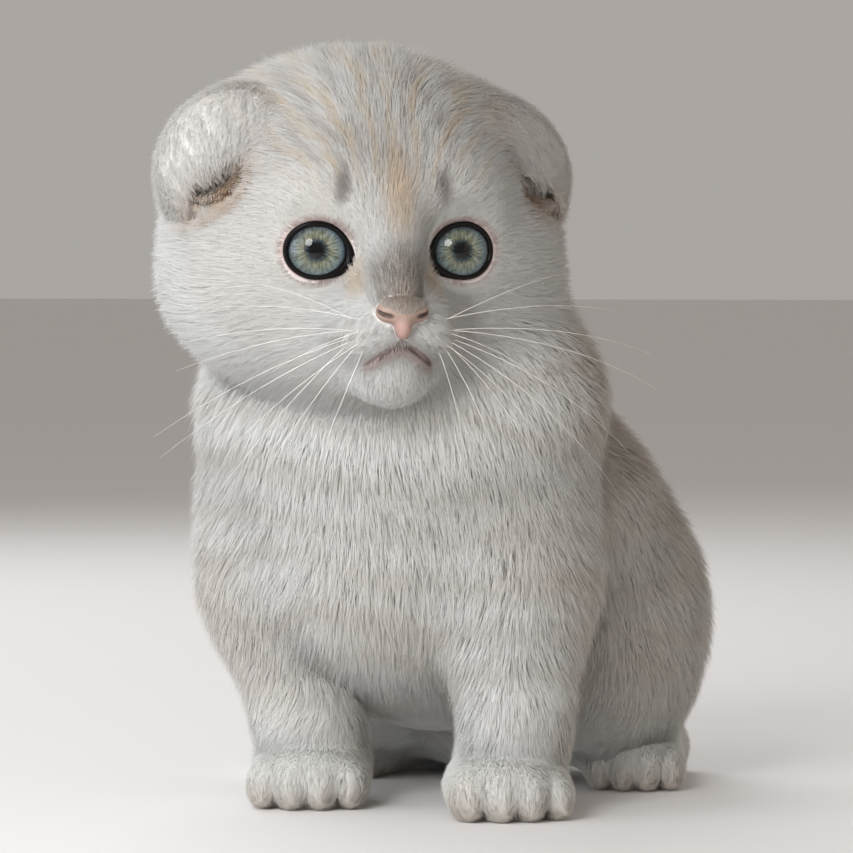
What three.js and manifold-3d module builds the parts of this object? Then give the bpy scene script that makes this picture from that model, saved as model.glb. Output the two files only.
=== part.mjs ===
// A Scottish fold kitten of about six weeks, sitting upright with its head turned to its left.
// Life size, in millimetres: +X is the kitten's left, -Y its front, +Z up, the floor at Z = 0.
// The solids follow the outside of the coat. The body is modelled as one soft form, a blend of
// named masses, and is then parted into its head, neck, torso, legs and feet by thin cuts.
import * as THREE from "three";
import { mergeVertices } from "three/addons/utils/BufferGeometryUtils.js";
import Module from "manifold-3d";

const wasm = await Module();
wasm.setup();

// Driving dimensions
const PART_GAP = 0.3; // clearance of each thin cut
const HEAD_AT = [-3, -28.4, 118]; // middle of the skull
const HEAD_TURN = 37.8; // degrees, to the kitten's left
const SKULL_WIDTH = 81;
const SKULL_HEIGHT = 71;
const SKULL_DEPTH = 72;
const EYE_RADIUS = 8.4;
const EYE_AT = [13.7, -22.4, -3.8]; // middle of the left eyeball, in the head's frame
const EYE_OUTWARD = 10; // degrees that each eye looks to its own side
const EYE_OPENING = [6.3, 5.45]; // half width and half height between the lids
const LID_THICKNESS = 1.7;
const CHEST_MIDDLE = -2; // the trunk leans this far to the kitten's right
const LEG_RADIUS = 13.2;
const PAW_RADIUS = 12.8;

const rad = THREE.MathUtils.degToRad;

// Forms. Each is a function of x, y, z that gives how far a point lies outside it.
const ball = ([cx, cy, cz], [rx, ry, rz]) => (x, y, z) => {
  const px = (x - cx) / rx;
  const py = (y - cy) / ry;
  const pz = (z - cz) / rz;
  const reach = Math.sqrt(px * px + py * py + pz * pz);
  const slope = Math.sqrt((px / rx) ** 2 + (py / ry) ** 2 + (pz / rz) ** 2);
  return slope < 1e-9 ? -Math.min(rx, ry, rz) : (reach * (reach - 1)) / slope;
};

// A round stretch through stations [x, y, z, radius].
const limb = (stations) => (x, y, z) => {
  let nearest = Infinity;
  for (let i = 0; i + 1 < stations.length; i++) {
    const [ax, ay, az, ar] = stations[i];
    const [bx, by, bz, br] = stations[i + 1];
    const [ux, uy, uz] = [bx - ax, by - ay, bz - az];
    const along = ((x - ax) * ux + (y - ay) * uy + (z - az) * uz) / (ux * ux + uy * uy + uz * uz);
    const t = Math.min(1, Math.max(0, along));
    const away = Math.hypot(x - ax - t * ux, y - ay - t * uy, z - az - t * uz);
    nearest = Math.min(nearest, away - ar - t * (br - ar));
  }
  return nearest;
};

const softer = (a, b, k) => {
  const h = Math.max(k - Math.abs(a - b), 0) / k;
  return Math.min(a, b) - (h * h * k) / 4;
};
const blend = (k, ...forms) => (x, y, z) => forms.map((f) => f(x, y, z)).reduce((a, b) => softer(a, b, k));
const carve = (k, form, tool) => (x, y, z) => -softer(-form(x, y, z), tool(x, y, z), k);
const bothSides = (form) => (x, y, z) => form(Math.abs(x), y, z);
const larger = (form, by) => (x, y, z) => form(x, y, z) - by;

// A form that is modelled in its own frame, set in the frame that the matrix leads to.
function placed(matrix, form) {
  const m = matrix.clone().invert().elements;
  return (x, y, z) =>
    form(
      m[0] * x + m[4] * y + m[8] * z + m[12],
      m[1] * x + m[5] * y + m[9] * z + m[13],
      m[2] * x + m[6] * y + m[10] * z + m[14],
    );
}

function frameAt([x, y, z], turn) {
  return new THREE.Matrix4().makeRotationZ(rad(turn)).setPosition(x, y, z);
}

// Solids
function solidOf(geometry) {
  const bare = new THREE.BufferGeometry().setAttribute("position", geometry.getAttribute("position"));
  if (geometry.index) bare.setIndex(geometry.index);
  const merged = mergeVertices(bare, 1e-4);
  return new wasm.Manifold(
    new wasm.Mesh({
      numProp: 3,
      vertProperties: new Float32Array(merged.attributes.position.array),
      triVerts: new Uint32Array(merged.index.array),
    }),
  );
}

function geometryOf(solid) {
  const mesh = solid.getMesh();
  return new THREE.BufferGeometry()
    .setAttribute("position", new THREE.BufferAttribute(new Float32Array(mesh.vertProperties), 3))
    .setIndex(new THREE.BufferAttribute(new Uint32Array(mesh.triVerts), 1));
}

// A cut can leave slivers, so a node keeps its largest closed surface.
function largest(solid) {
  return solid.simplify(0.15).decompose().reduce((a, b) => (b.volume() > a.volume() ? b : a));
}

// Grid lines along one axis, from spans of [from, to, step].
function ticks(...spans) {
  const lines = [spans[0][0]];
  for (const [from, to, step] of spans) {
    const count = Math.max(1, Math.round((to - from) / step));
    for (let i = 1; i <= count; i++) lines.push(from + ((to - from) * i) / count);
  }
  return lines;
}

// The closed skin of a form, one point in each grid cell that its surface passes through.
function skinOf(form, xs, ys, zs) {
  const [nx, ny, nz] = [xs.length, ys.length, zs.length];
  const at = (i, j, k) => (i * ny + j) * nz + k;
  const values = new Float64Array(nx * ny * nz);
  for (let i = 0; i < nx; i++)
    for (let j = 0; j < ny; j++)
      for (let k = 0; k < nz; k++) {
        const rim = i === 0 || j === 0 || k === 0 || i === nx - 1 || j === ny - 1 || k === nz - 1;
        const value = form(xs[i], ys[j], zs[k]);
        values[at(i, j, k)] = rim ? Math.max(value, 0.2) : value;
      }
  const points = [];
  const pointOf = new Map();
  const pointIn = (i, j, k) => {
    const key = at(i, j, k);
    if (pointOf.has(key)) return pointOf.get(key);
    const sum = new THREE.Vector3();
    let crossings = 0;
    const corner = (c) => [i + (c & 1), j + ((c >> 1) & 1), k + ((c >> 2) & 1)];
    for (let c = 0; c < 8; c++)
      for (const bit of [1, 2, 4]) {
        if (c & bit) continue;
        const [a, b] = [corner(c), corner(c | bit)];
        const [va, vb] = [values[at(...a)], values[at(...b)]];
        if (va < 0 === vb < 0) continue;
        const t = va / (va - vb);
        const from = new THREE.Vector3(xs[a[0]], ys[a[1]], zs[a[2]]);
        const to = new THREE.Vector3(xs[b[0]], ys[b[1]], zs[b[2]]);
        sum.add(from.lerp(to, t));
        crossings++;
      }
    const p = sum.divideScalar(crossings);
    ontoSurface(form, p);
    const low = new THREE.Vector3(xs[i], ys[j], zs[k]);
    const high = new THREE.Vector3(xs[i + 1], ys[j + 1], zs[k + 1]);
    const inset = high.clone().sub(low).multiplyScalar(0.04);
    p.clamp(low.add(inset), high.sub(inset));
    pointOf.set(key, points.length);
    points.push(p);
    return points.length - 1;
  };
  const faces = [];
  const quad = (a, b, c, d, flip) => {
    const ring = flip ? [a, d, c, b] : [a, b, c, d];
    const [p, q, r, s] = ring.map((n) => points[n]);
    if (p.distanceTo(r) < q.distanceTo(s)) faces.push(ring[0], ring[1], ring[2], ring[0], ring[2], ring[3]);
    else faces.push(ring[1], ring[2], ring[3], ring[1], ring[3], ring[0]);
  };
  for (let i = 0; i < nx - 1; i++)
    for (let j = 0; j < ny - 1; j++)
      for (let k = 0; k < nz - 1; k++) {
        const here = values[at(i, j, k)] < 0;
        if (j && k && here !== values[at(i + 1, j, k)] < 0)
          quad(pointIn(i, j - 1, k - 1), pointIn(i, j, k - 1), pointIn(i, j, k), pointIn(i, j - 1, k), !here);
        if (i && k && here !== values[at(i, j + 1, k)] < 0)
          quad(pointIn(i - 1, j, k - 1), pointIn(i - 1, j, k), pointIn(i, j, k), pointIn(i, j, k - 1), !here);
        if (i && j && here !== values[at(i, j, k + 1)] < 0)
          quad(pointIn(i - 1, j - 1, k), pointIn(i, j - 1, k), pointIn(i, j, k), pointIn(i - 1, j, k), !here);
      }
  const geometry = new THREE.BufferGeometry().setFromPoints(points).setIndex(faces);
  return solidOf(geometry);
}

// Moves a point onto the surface of a form, along its steepest slope.
function ontoSurface(form, p) {
  const e = 0.05;
  for (let pass = 0; pass < 3; pass++) {
    const value = form(p.x, p.y, p.z);
    const slope = new THREE.Vector3(
      form(p.x + e, p.y, p.z) - form(p.x - e, p.y, p.z),
      form(p.x, p.y + e, p.z) - form(p.x, p.y - e, p.z),
      form(p.x, p.y, p.z + e) - form(p.x, p.y, p.z - e),
    ).divideScalar(2 * e);
    p.addScaledVector(slope, -value / Math.max(slope.lengthSq(), 0.2));
  }
}

// Ears: each is a thin cap folded forward and down, hollow under its free edge
const EAR_AT = new THREE.Vector3(30.5, -9, 16); // on the skull, under the middle of the flap
const EAR_RADII = [15, 13.5, 9.8]; // along the fold, down the flap, outwards
const EAR_HOLLOW = [12.6, 12, 7.4];
const EAR_HOLLOW_DOWN = 3.2; // the hollow sits towards the free edge
const EAR_EDGE = 9.5; // from the ear's middle down to its free edge
const EAR_PRICK = { left: 12, right: 0 }; // degrees that the tip is lifted
const EAR_FLARE = { left: 14, right: 0 }; // degrees that the tip stands away from the skull
const EAR_SINK = { left: 2.2, right: 0 }; // the left flap lies closer to the skull
const earOut = new THREE.Vector3(0.7, -0.59, 0.4).normalize();

// The frame of an ear: along its fold, down its flap and outwards. The right ear is made as a left one.
function earFrameOf(side) {
  const down = new THREE.Vector3(-0.03, -0.7, -0.68).projectOnPlane(earOut).normalize();
  down.applyAxisAngle(earOut, rad(EAR_PRICK[side]));
  const out = earOut.clone().applyAxisAngle(down, rad(EAR_FLARE[side]));
  const along = new THREE.Vector3().crossVectors(down, out);
  const at = EAR_AT.clone().addScaledVector(out, -EAR_SINK[side]);
  return new THREE.Matrix4().makeBasis(along, down, out).setPosition(at);
}
const earFrames = { left: earFrameOf("left"), right: earFrameOf("right") };

// Head, in its own frame: its middle at the origin, its face towards -Y
const headFrame = frameAt(HEAD_AT, HEAD_TURN);

const skull = ball([0, 4, 4], [SKULL_WIDTH / 2, SKULL_DEPTH / 2, SKULL_HEIGHT / 2]);
const cheek = ball([16, -2, -9], [26.5, 25, 23]);
const jaw = ball([0, -13, -20], [21, 20, 14.5]);
const brow = ball([12, -21, 8], [13, 11.5, 10]);
const bridge = limb([
  [0, -27, 5, 7],
  [0, -33, -6, 6],
  [0, -38.5, -13, 4.4],
]);
const muzzle = ball([0, -30, -18.5], [12.5, 11.5, 9.5]);
const whiskerPad = ball([5.3, -34.5, -20.3], [6.8, 7, 5.8]);
const chin = ball([0, -30.5, -27.5], [9, 8.6, 7.4]);
const eyeDish = ball([16.2, -41, EYE_AT[2] + 0.5], [10.6, 13, 10.2]);

const face = blend(3, blend(2, muzzle, bothSides(whiskerPad)), bridge, chin);
const underFlap = ball([0, 6.5, 5.5], [9.5, 6, 4.2]);
const mirrored = (form) => (x, y, z) => form(-x, y, z);
const headForm = carve(
  3,
  blend(7, skull, bothSides(cheek), jaw, bothSides(brow), face),
  blend(1, bothSides(eyeDish), placed(earFrames.left, underFlap), mirrored(placed(earFrames.right, underFlap))),
);

// Trunk and legs, in the kitten's frame
const mid = CHEST_MIDDLE;
const trunkForm = blend(
  10,
  ball([mid, -14, 60], [34, 28, 37]), // chest
  ball([mid, -13, 79], [44.5, 31, 28]), // ruff of the neck
  bothSides(ball([20, -13, 87], [23, 22, 20])), // cheek ruff
  ball([mid + 3, 4, 88], [30, 29, 24]), // nape
  ball([mid + 1, 12, 70], [28, 28, 28]), // withers
  ball([mid - 27, -13, 52], [19, 20, 28]), // right shoulder
  ball([mid + 26, -12, 52], [19, 20, 28]), // left shoulder
  ball([mid - 11, 18, 58], [28, 28, 29]), // right flank
  ball([mid + 14, 22, 58], [31, 29, 28]), // left flank
  ball([mid + 1, 40, 33], [33, 27, 33]), // rump
  ball([mid, 8, 34], [25, 28, 21]), // belly
);

// A paw lies along -Y in its own frame, with its toes in a shallow arc at the front.
function pawForm(width, length, height, toes) {
  const middle = ball([0, 0, height * 0.5], [width, length * 0.52, height * 0.62]);
  const spread = Array.from({ length: toes }, (_, n) => n - (toes - 1) / 2).map((n) =>
    ball(
      [n * width * 0.47, -length * 0.42 + Math.abs(n) ** 2 * 1.1, height * 0.42],
      [width * 0.31, length * 0.27, height * 0.46],
    ),
  );
  return blend(2.5, middle, blend(0.8, ...spread));
}

const FOREPAW = { width: PAW_RADIUS, length: 25, height: 12.5 };
const forepawForm = pawForm(FOREPAW.width, FOREPAW.length, FOREPAW.height, 4);
const forelegs = {
  left: {
    pawFrame: frameAt([28.2, -26.5, 0], 36),
    stations: [
      [27.6, -21, 9, LEG_RADIUS - 1.6],
      [27.6, -18, 24, LEG_RADIUS],
      [25.5, -13, 44, LEG_RADIUS + 2],
    ],
  },
  right: {
    pawFrame: frameAt([-16.6, -24, 0], 22),
    stations: [
      [-18, -19, 9, LEG_RADIUS - 1.2],
      [-22.3, -17, 24, LEG_RADIUS],
      [-29, -14, 44, LEG_RADIUS + 2],
    ],
  },
};

const HINDFOOT = { width: 10.6, length: 24, height: 11 };
const hindToesForm = pawForm(HINDFOOT.width, HINDFOOT.length, HINDFOOT.height, 4);
const hindlegs = {
  left: {
    toesFrame: frameAt([31.5, 36, 0], 22),
    foot: [
      [31, 39, 6.4, 8.6],
      [25, 62, 6, 8.4],
    ],
    thigh: ball([mid + 27, 36, 36], [22, 29, 33]),
  },
  right: {
    toesFrame: frameAt([-32.5, 33, 0], -14),
    foot: [
      [-32, 36, 6.4, 8.6],
      [-27, 60, 6, 8.4],
    ],
    thigh: ball([mid - 25, 34, 33], [21, 29, 30]),
  },
};

const forelegForm = (leg) => blend(4, limb(leg.stations), placed(leg.pawFrame, forepawForm));
const hindlegForm = (leg) => blend(3.5, limb(leg.foot), placed(leg.toesFrame, hindToesForm));
const bodyForm = blend(
  7,
  trunkForm,
  forelegForm(forelegs.left),
  forelegForm(forelegs.right),
  blend(4, hindlegs.left.thigh, hindlegForm(hindlegs.left)),
  blend(4, hindlegs.right.thigh, hindlegForm(hindlegs.right)),
);
const onFloor = (solid) => solid.trimByPlane([0, 0, 1], 0);
const wholeForm = blend(9, bodyForm, placed(headFrame, headForm));

// Tail, laid on the floor round the kitten's right side: stations of x, y, z and radius
const TAIL = [
  [0, 56, 12, 11],
  [-14, 63, 8.6, 9.2],
  [-27, 66.5, 7, 8],
  [-40, 62, 6.2, 7.2],
  [-49, 52, 5.8, 6.8],
  [-52, 40, 5.4, 6.4],
  [-50.5, 28, 5, 6],
  [-46.5, 18, 4.4, 5.2],
];
function tailSolid(gap) {
  const knots = TAIL.map(([x, y, z, radius]) => wasm.Manifold.sphere(radius + gap, 16).translate([x, y, z]));
  return wasm.Manifold.union(knots.slice(1).map((knot, n) => wasm.Manifold.hull([knots[n], knot])));
}

// Regions that part the whole, each a little larger where it is cut away from its neighbour.
const ballRegion = (centre, radii) => (gap) =>
  solidOf(new THREE.SphereGeometry(1, 24, 16).scale(...radii.map((r) => r + gap)).translate(...centre));
const boxRegion = (low, high) => (gap) => {
  const size = low.map((l, n) => high[n] - l + 2 * gap);
  const centre = low.map((l, n) => (l + high[n]) / 2);
  return solidOf(new THREE.BoxGeometry(...size).translate(...centre));
};

const FOREPAW_TOP = 13.5;
const HINDFOOT_TOP = 12.5;
const localHeadRegion = (gap) =>
  ballRegion([0, 0, 0], [48, 47, 40.5])(gap).add(ballRegion([0, -30, -24], [17, 20, 14])(gap));
const headRegion = (gap) => localHeadRegion(gap).transform(headFrame.elements);
const regions = {
  forepaw_left: boxRegion([12, -48, -5], [50, -4, FOREPAW_TOP]),
  forepaw_right: boxRegion([-36, -48, -5], [1, -4, FOREPAW_TOP]),
  hind_foot_left: boxRegion([15, 14, -5], [60, 72, HINDFOOT_TOP]),
  hind_foot_right: boxRegion([-60, 14, -5], [-15, 72, HINDFOOT_TOP]),
  foreleg_left: ballRegion([27, -16, 26], [20, 22, 34]),
  foreleg_right: ballRegion([-24, -17, 26], [21, 22, 34]),
  thigh_left: ballRegion([mid + 35, 36, 30], [24, 36, 36]),
  thigh_right: ballRegion([mid - 33, 34, 30], [24, 36, 36]),
  neck: boxRegion([-90, -90, 74], [90, 90, 160]),
};

const BODY_STEP = 7.5;
const FOOT_STEP = 3.4;
const bodyGrid = [ticks([-62, 62, BODY_STEP]), ticks([-62, 82, BODY_STEP]), ticks([-8, 130, BODY_STEP])];
const besideTail = (...grid) => onFloor(skinOf(wholeForm, ...grid)).subtract(tailSolid(PART_GAP));
const parts = { tail: largest(onFloor(tailSolid(0))) };
const feet = new Set(["forepaw_left", "forepaw_right", "hind_foot_left", "hind_foot_right"]); // on the fine grid
let rest = besideTail(...bodyGrid).subtract(headRegion(PART_GAP));
for (const [name, region] of Object.entries(regions)) {
  let source = rest;
  if (feet.has(name)) {
    const { min, max } = region(2).boundingBox();
    const footGrid = [0, 1].map((axis) => ticks([min[axis], max[axis], FOOT_STEP]));
    source = besideTail(...footGrid, ticks([-6, FOREPAW_TOP + 7, FOOT_STEP]));
  }
  parts[name] = largest(source.intersect(region(0)));
  rest = rest.subtract(region(PART_GAP));
}
parts.torso = largest(rest);

// Head solid, on a grid that is fine at the face
const inHead = placed(headFrame.clone().invert(), wholeForm);
const headGrid = [
  ticks([-54, -22, 6.4], [-22, 22, 2.93], [22, 54, 6.4]),
  ticks([-52, -24, 2.8], [-24, 54, 7]),
  ticks([-46, -34, 4], [-34, 6, 2.85], [6, 46, 6.6]),
];
const headSkin = skinOf(inHead, ...headGrid);

// Eyes: a ball with a bulging clear front
const CORNEA_RADIUS = EYE_RADIUS * 0.82;
const CORNEA_FORWARD = EYE_RADIUS * 0.31;
function eyeSolid(side, gap) {
  const profile = [];
  const steps = 12;
  for (let n = 0; n <= steps; n++) {
    const angle = (Math.PI * n) / steps;
    const c = -Math.cos(angle);
    const s = Math.sin(angle);
    const overCornea = CORNEA_FORWARD * c + Math.sqrt(CORNEA_RADIUS ** 2 - (CORNEA_FORWARD * s) ** 2);
    const reach = Math.max(EYE_RADIUS, overCornea) + gap;
    profile.push(new THREE.Vector2(n === 0 || n === steps ? 0 : reach * s, reach * c));
  }
  const geometry = new THREE.LatheGeometry(profile, 18);
  geometry.rotateX(-Math.PI / 2); // the clear front now looks along -Y
  geometry.rotateZ(rad(EYE_OUTWARD) * side);
  geometry.translate(EYE_AT[0] * side, EYE_AT[1], EYE_AT[2]);
  return solidOf(geometry);
}

// The lids follow the rim of the opening, close over the eyeball.
function lidSolid(side) {
  const look = new THREE.Vector3(side * Math.sin(rad(EYE_OUTWARD)), -Math.cos(rad(EYE_OUTWARD)), 0);
  const across = new THREE.Vector3(-look.y * side, look.x * side, 0);
  const up = new THREE.Vector3(0, 0, 1);
  const centre = new THREE.Vector3(EYE_AT[0] * side, EYE_AT[1], EYE_AT[2]);
  const rim = [];
  const count = 20;
  for (let n = 0; n < count; n++) {
    const angle = (2 * Math.PI * n) / count;
    const inner = Math.max(0, -Math.cos(angle + 0.45)) ** 6; // tear duct, low and near the nose
    const w = (EYE_OPENING[0] + 0.9 * inner) * Math.cos(angle);
    const h = (EYE_OPENING[1] + 0.5 * inner) * Math.sin(angle);
    const reach = EYE_RADIUS + 0.6;
    const depth = Math.sqrt(Math.max(reach ** 2 - w ** 2 - h ** 2, 1));
    rim.push(centre.clone().addScaledVector(across, w).addScaledVector(up, h).addScaledVector(look, depth));
  }
  return solidOf(new THREE.TubeGeometry(new THREE.CatmullRomCurve3(rim, true), 26, LID_THICKNESS / 2, 6, true));
}

// Nose leather; its nostrils are cut in below
const noseForm = blend(
  1.2,
  ball([0, -40.6, -15.6], [4.4, 3.6, 2.7]),
  ball([0, -40.8, -18.3], [2.2, 3, 3]),
  bothSides(ball([3.1, -40, -15.9], [2.2, 2.6, 1.9])),
);
const noseGrid = [ticks([-7, 7, 1.1]), ticks([-46, -35, 1.2]), ticks([-23, -11, 1.1])];

// The first point of the head's surface met from the front, at a given x and z.
function onFace(x, z) {
  let y = -55;
  for (let step = 0; step < 60; step++) y += Math.max(inHead(x, y, z) * 0.7, 0.001);
  return new THREE.Vector3(x, y, z);
}
const roundSection = (radius) =>
  new THREE.Shape(
    Array.from({ length: 6 }, (_, n) => {
      const angle = (Math.PI * n) / 3;
      return new THREE.Vector2(radius * Math.cos(angle), radius * Math.sin(angle));
    }),
  );
const cordAlong = (points, radius, steps) =>
  solidOf(
    new THREE.ExtrudeGeometry(roundSection(radius), {
      extrudePath: new THREE.CatmullRomCurve3(points),
      steps,
      bevelEnabled: false,
    }),
  );
const MOUTH = [
  [6, -25.7],
  [4.2, -24.3],
  [2.2, -22.9],
  [0, -22],
]; // x and z in the head's frame, from a corner to the middle
const nostril = (side) =>
  cordAlong([[1.9, -45, -17.3], [2.9, -43, -16.9], [4.6, -41.5, -16], [6.2, -40, -15.2]].map(([x, y, z]) => new THREE.Vector3(side * x, y, z)), 0.75, 8);
const mouthLine = (rise) =>
  [...MOUTH, ...MOUTH.slice(0, 3).reverse().map(([x, z]) => [-x, z])].map(([x, z]) => onFace(x, z + rise));

let headSolid = headSkin.intersect(localHeadRegion(0));
for (const rise of [1.15, -1.15]) {
  const lip = mouthLine(rise).map((p) => p.add(new THREE.Vector3(0, 0.55, 0)));
  headSolid = headSolid.add(cordAlong(lip, 0.95, 16));
}
headSolid = headSolid.subtract(cordAlong(mouthLine(0), 0.6, 16));
const philtrum = [-20, -21.2, -22.4].map((z) => onFace(0, z));
headSolid = headSolid.subtract(cordAlong(philtrum, 0.5, 4));
for (const side of [1, -1]) headSolid = headSolid.add(lidSolid(side));
for (const side of [1, -1]) headSolid = headSolid.subtract(eyeSolid(side, PART_GAP));
headSolid = headSolid.subtract(skinOf(larger(noseForm, PART_GAP), ...noseGrid));

// Ear solids
const EAR_ROOT = 2.5; // how far above its middle an ear starts
function earSolid(name, side, gap) {
  const shell = (radii, down, more) =>
    solidOf(new THREE.SphereGeometry(1, 18, 12).scale(...radii.map((r) => r + more)).translate(0, down, 0));
  const ear = shell(EAR_RADII, 0, gap)
    .subtract(shell(EAR_HOLLOW, EAR_HOLLOW_DOWN, -gap))
    .trimByPlane([0, -1, 0], -EAR_EDGE - gap)
    .trimByPlane([0, 0, 1], EAR_ROOT - gap)
    .transform(earFrames[name].elements);
  return largest(side > 0 ? ear : ear.mirror([1, 0, 0]));
}
for (const [name, side] of [["left", 1], ["right", -1]])
  headSolid = headSolid.subtract(earSolid(name, side, PART_GAP));
parts.head = largest(headSolid);

// Materials, from the photograph
const coat = new THREE.MeshStandardMaterial({ color: 0xe6e2da, roughness: 0.9, metalness: 0 });
const leather = new THREE.MeshStandardMaterial({ color: 0xc79a86, roughness: 0.55, metalness: 0 });
const eye = new THREE.MeshStandardMaterial({ color: 0x6f8b86, roughness: 0.08, metalness: 0 });

const kitten = new THREE.Group();
const head = new THREE.Group();
head.position.set(...HEAD_AT);
head.rotation.z = rad(HEAD_TURN);
kitten.add(head);

function addMesh(group, name, solid, material) {
  const mesh = new THREE.Mesh(geometryOf(solid), material);
  mesh.name = name;
  group.add(mesh);
  return mesh;
}

addMesh(head, "head", parts.head, coat);
let noseSolid = skinOf(noseForm, ...noseGrid);
for (const side of [1, -1]) noseSolid = noseSolid.subtract(nostril(side));
addMesh(head, "nose", largest(noseSolid), leather);
for (const [name, side] of [["left", 1], ["right", -1]]) {
  addMesh(head, "eye_" + name, eyeSolid(side, 0), eye);
  addMesh(head, "ear_" + name, earSolid(name, side, 0), coat);
}
for (const [name, solid] of Object.entries(parts))
  if (name !== "head") addMesh(kitten, name, solid, coat);

// The origin goes to the middle of the footprint, on the floor.
const extent = new THREE.Box3().setFromObject(kitten, true);
kitten.position.set(-(extent.min.x + extent.max.x) / 2, -(extent.min.y + extent.max.y) / 2, -extent.min.z);

export default kitten;
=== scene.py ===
# A Scottish fold kitten of about six weeks, sitting upright with its head turned to its left.
# Sizes are in millimetres in the kitten's own frame: +X its left, -Y its front, +Z up. The frame's
# origin lies at the middle of the footprint, so every finished mesh is moved there at the end.
import math

import bmesh
import bpy
import numpy as np
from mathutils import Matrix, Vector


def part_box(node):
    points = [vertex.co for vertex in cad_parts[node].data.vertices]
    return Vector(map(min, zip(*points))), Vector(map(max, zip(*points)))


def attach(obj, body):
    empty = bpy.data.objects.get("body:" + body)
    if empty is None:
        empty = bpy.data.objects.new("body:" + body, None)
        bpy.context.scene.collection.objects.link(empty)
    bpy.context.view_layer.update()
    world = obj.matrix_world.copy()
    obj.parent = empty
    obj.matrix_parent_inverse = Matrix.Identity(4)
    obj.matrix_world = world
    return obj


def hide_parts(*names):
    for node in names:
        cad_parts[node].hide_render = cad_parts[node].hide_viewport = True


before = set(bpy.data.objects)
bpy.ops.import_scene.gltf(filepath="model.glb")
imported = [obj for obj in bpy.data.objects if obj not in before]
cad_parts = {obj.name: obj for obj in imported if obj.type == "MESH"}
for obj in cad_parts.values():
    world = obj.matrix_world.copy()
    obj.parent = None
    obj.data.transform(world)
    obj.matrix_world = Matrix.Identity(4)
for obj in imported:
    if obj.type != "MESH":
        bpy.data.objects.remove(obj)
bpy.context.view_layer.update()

import openvdb
from mathutils import Quaternion, Vector

# Footprint
# The tail's outermost points are known in the kitten's frame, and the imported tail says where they
# ended up. That gives the step from one frame to the other.
TAIL = [  # stations along the tail: x, y, z and radius
    (0, 56, 12, 11),
    (-14, 63, 8.6, 9.2),
    (-27, 66.5, 7, 8),
    (-40, 62, 6.2, 7.2),
    (-49, 52, 5.8, 6.8),
    (-52, 40, 5.4, 6.4),
    (-50.5, 28, 5, 6),
    (-46.5, 18, 4.4, 5.2),
]
tail_low, tail_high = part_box("tail")
tail_right = min(x - radius for x, y, z, radius in TAIL)
tail_back = max(y + radius for x, y, z, radius in TAIL)
SHIFT = np.array([tail_low[0] * 1000 - tail_right, tail_high[1] * 1000 - tail_back, 0.0])


def in_metres(points):
    return (np.asarray(points, np.float64) + SHIFT) / 1000


# Camera
# The photograph was taken with a long lens from the height of the kitten's face, 25 degrees round
# to its left. The view is nearly level, with a slight tilt down.
VIEW_TURN = math.radians(25)
VIEW_TILT = math.radians(1.8)
VIEW_DISTANCE = 945
VIEW_HEIGHT = 107.4
VIEW_CENTRE_X = -1.2
SENSOR = 36.0
FRAME_WIDTH = 853  # pixels
FOCAL = 4500  # pixels
to_camera = np.array([math.sin(VIEW_TURN), -math.cos(VIEW_TURN), 0.0])
to_right = np.array([math.cos(VIEW_TURN), math.sin(VIEW_TURN), 0.0])

camera_data = bpy.data.cameras.new("camera")
camera_data.sensor_width = SENSOR
camera_data.lens = SENSOR * FOCAL / FRAME_WIDTH
camera = bpy.data.objects.new("camera", camera_data)
camera.location = in_metres(np.array([VIEW_CENTRE_X, 0, VIEW_HEIGHT]) + to_camera * VIEW_DISTANCE)
camera.rotation_euler = (math.pi / 2 - VIEW_TILT, 0, VIEW_TURN)
bpy.context.scene.collection.objects.link(camera)
bpy.context.scene.camera = camera
bpy.context.scene.view_settings.view_transform = "Standard"


# Studio
# A pale floor and soft light: a large window at the picture's left with a brighter pane, a low
# glow from the front, weak lamps at the right and behind, and an even pale surround.
def linear(hex_colour):
    """The linear RGB of an sRGB colour such as "e8e4dc"."""
    values = [int(hex_colour[n : n + 2], 16) / 255 for n in (0, 2, 4)]
    return [v / 12.92 if v <= 0.04045 else ((v + 0.055) / 1.055) ** 2.4 for v in values]


def add_node(tree, kind, settings=None, links=None, **inputs):
    """Adds a node: settings are its properties, inputs its sockets' values, links its sockets' sources."""
    node = tree.nodes.new(kind)
    for name, value in (settings or {}).items():
        setattr(node, name, value)
    for name, value in inputs.items():
        node.inputs[name.replace("_", " ")].default_value = value
    for name, source in (links or {}).items():
        tree.links.new(source, node.inputs[name])
    return node


def new_material(name):
    material = bpy.data.materials.new(name)
    material.use_nodes = True
    material.node_tree.nodes.clear()
    return material, material.node_tree


def show(tree, shader):
    """Ends a material with its shader on the surface."""
    add_node(tree, "ShaderNodeOutputMaterial", links={"Surface": shader.outputs[0]})


MIDDLE_HEIGHT = 90  # every lamp points at the middle of the kitten


def add_lamp(name, right, toward_camera, up, size, power, colour):
    lamp = bpy.data.lights.new(name, "AREA")
    lamp.shape = "DISK"
    lamp.size = size
    lamp.energy = power
    lamp.color = linear(colour)
    lamp_object = bpy.data.objects.new(name, lamp)
    place = right * to_right + toward_camera * to_camera + np.array([0, 0, up])
    aim = Vector((0, 0, MIDDLE_HEIGHT)) - Vector(place)
    lamp_object.location = in_metres(place)
    lamp_object.rotation_euler = aim.to_track_quat("-Z", "Y").to_euler()
    bpy.context.scene.collection.objects.link(lamp_object)
    return lamp_object


add_lamp("window_lamp", -700, 330, 160, 0.8, 3.6, "f2f6ff")
add_lamp("window_pane", -350, 760, 520, 0.38, 4.0, "fafcff")
low_glow = add_lamp("low_glow", -320, 800, 190, 0.8, 4.4, "fcfcff")
low_glow.visible_glossy = False  # light from the bedding, too broad to mirror in an eye
add_lamp("fill_lamp", 760, 620, 160, 0.9, 0.6, "ffdfc4")
add_lamp("rear_lamp", -300, -620, 700, 0.9, 4.2, "f8faff")

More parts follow.
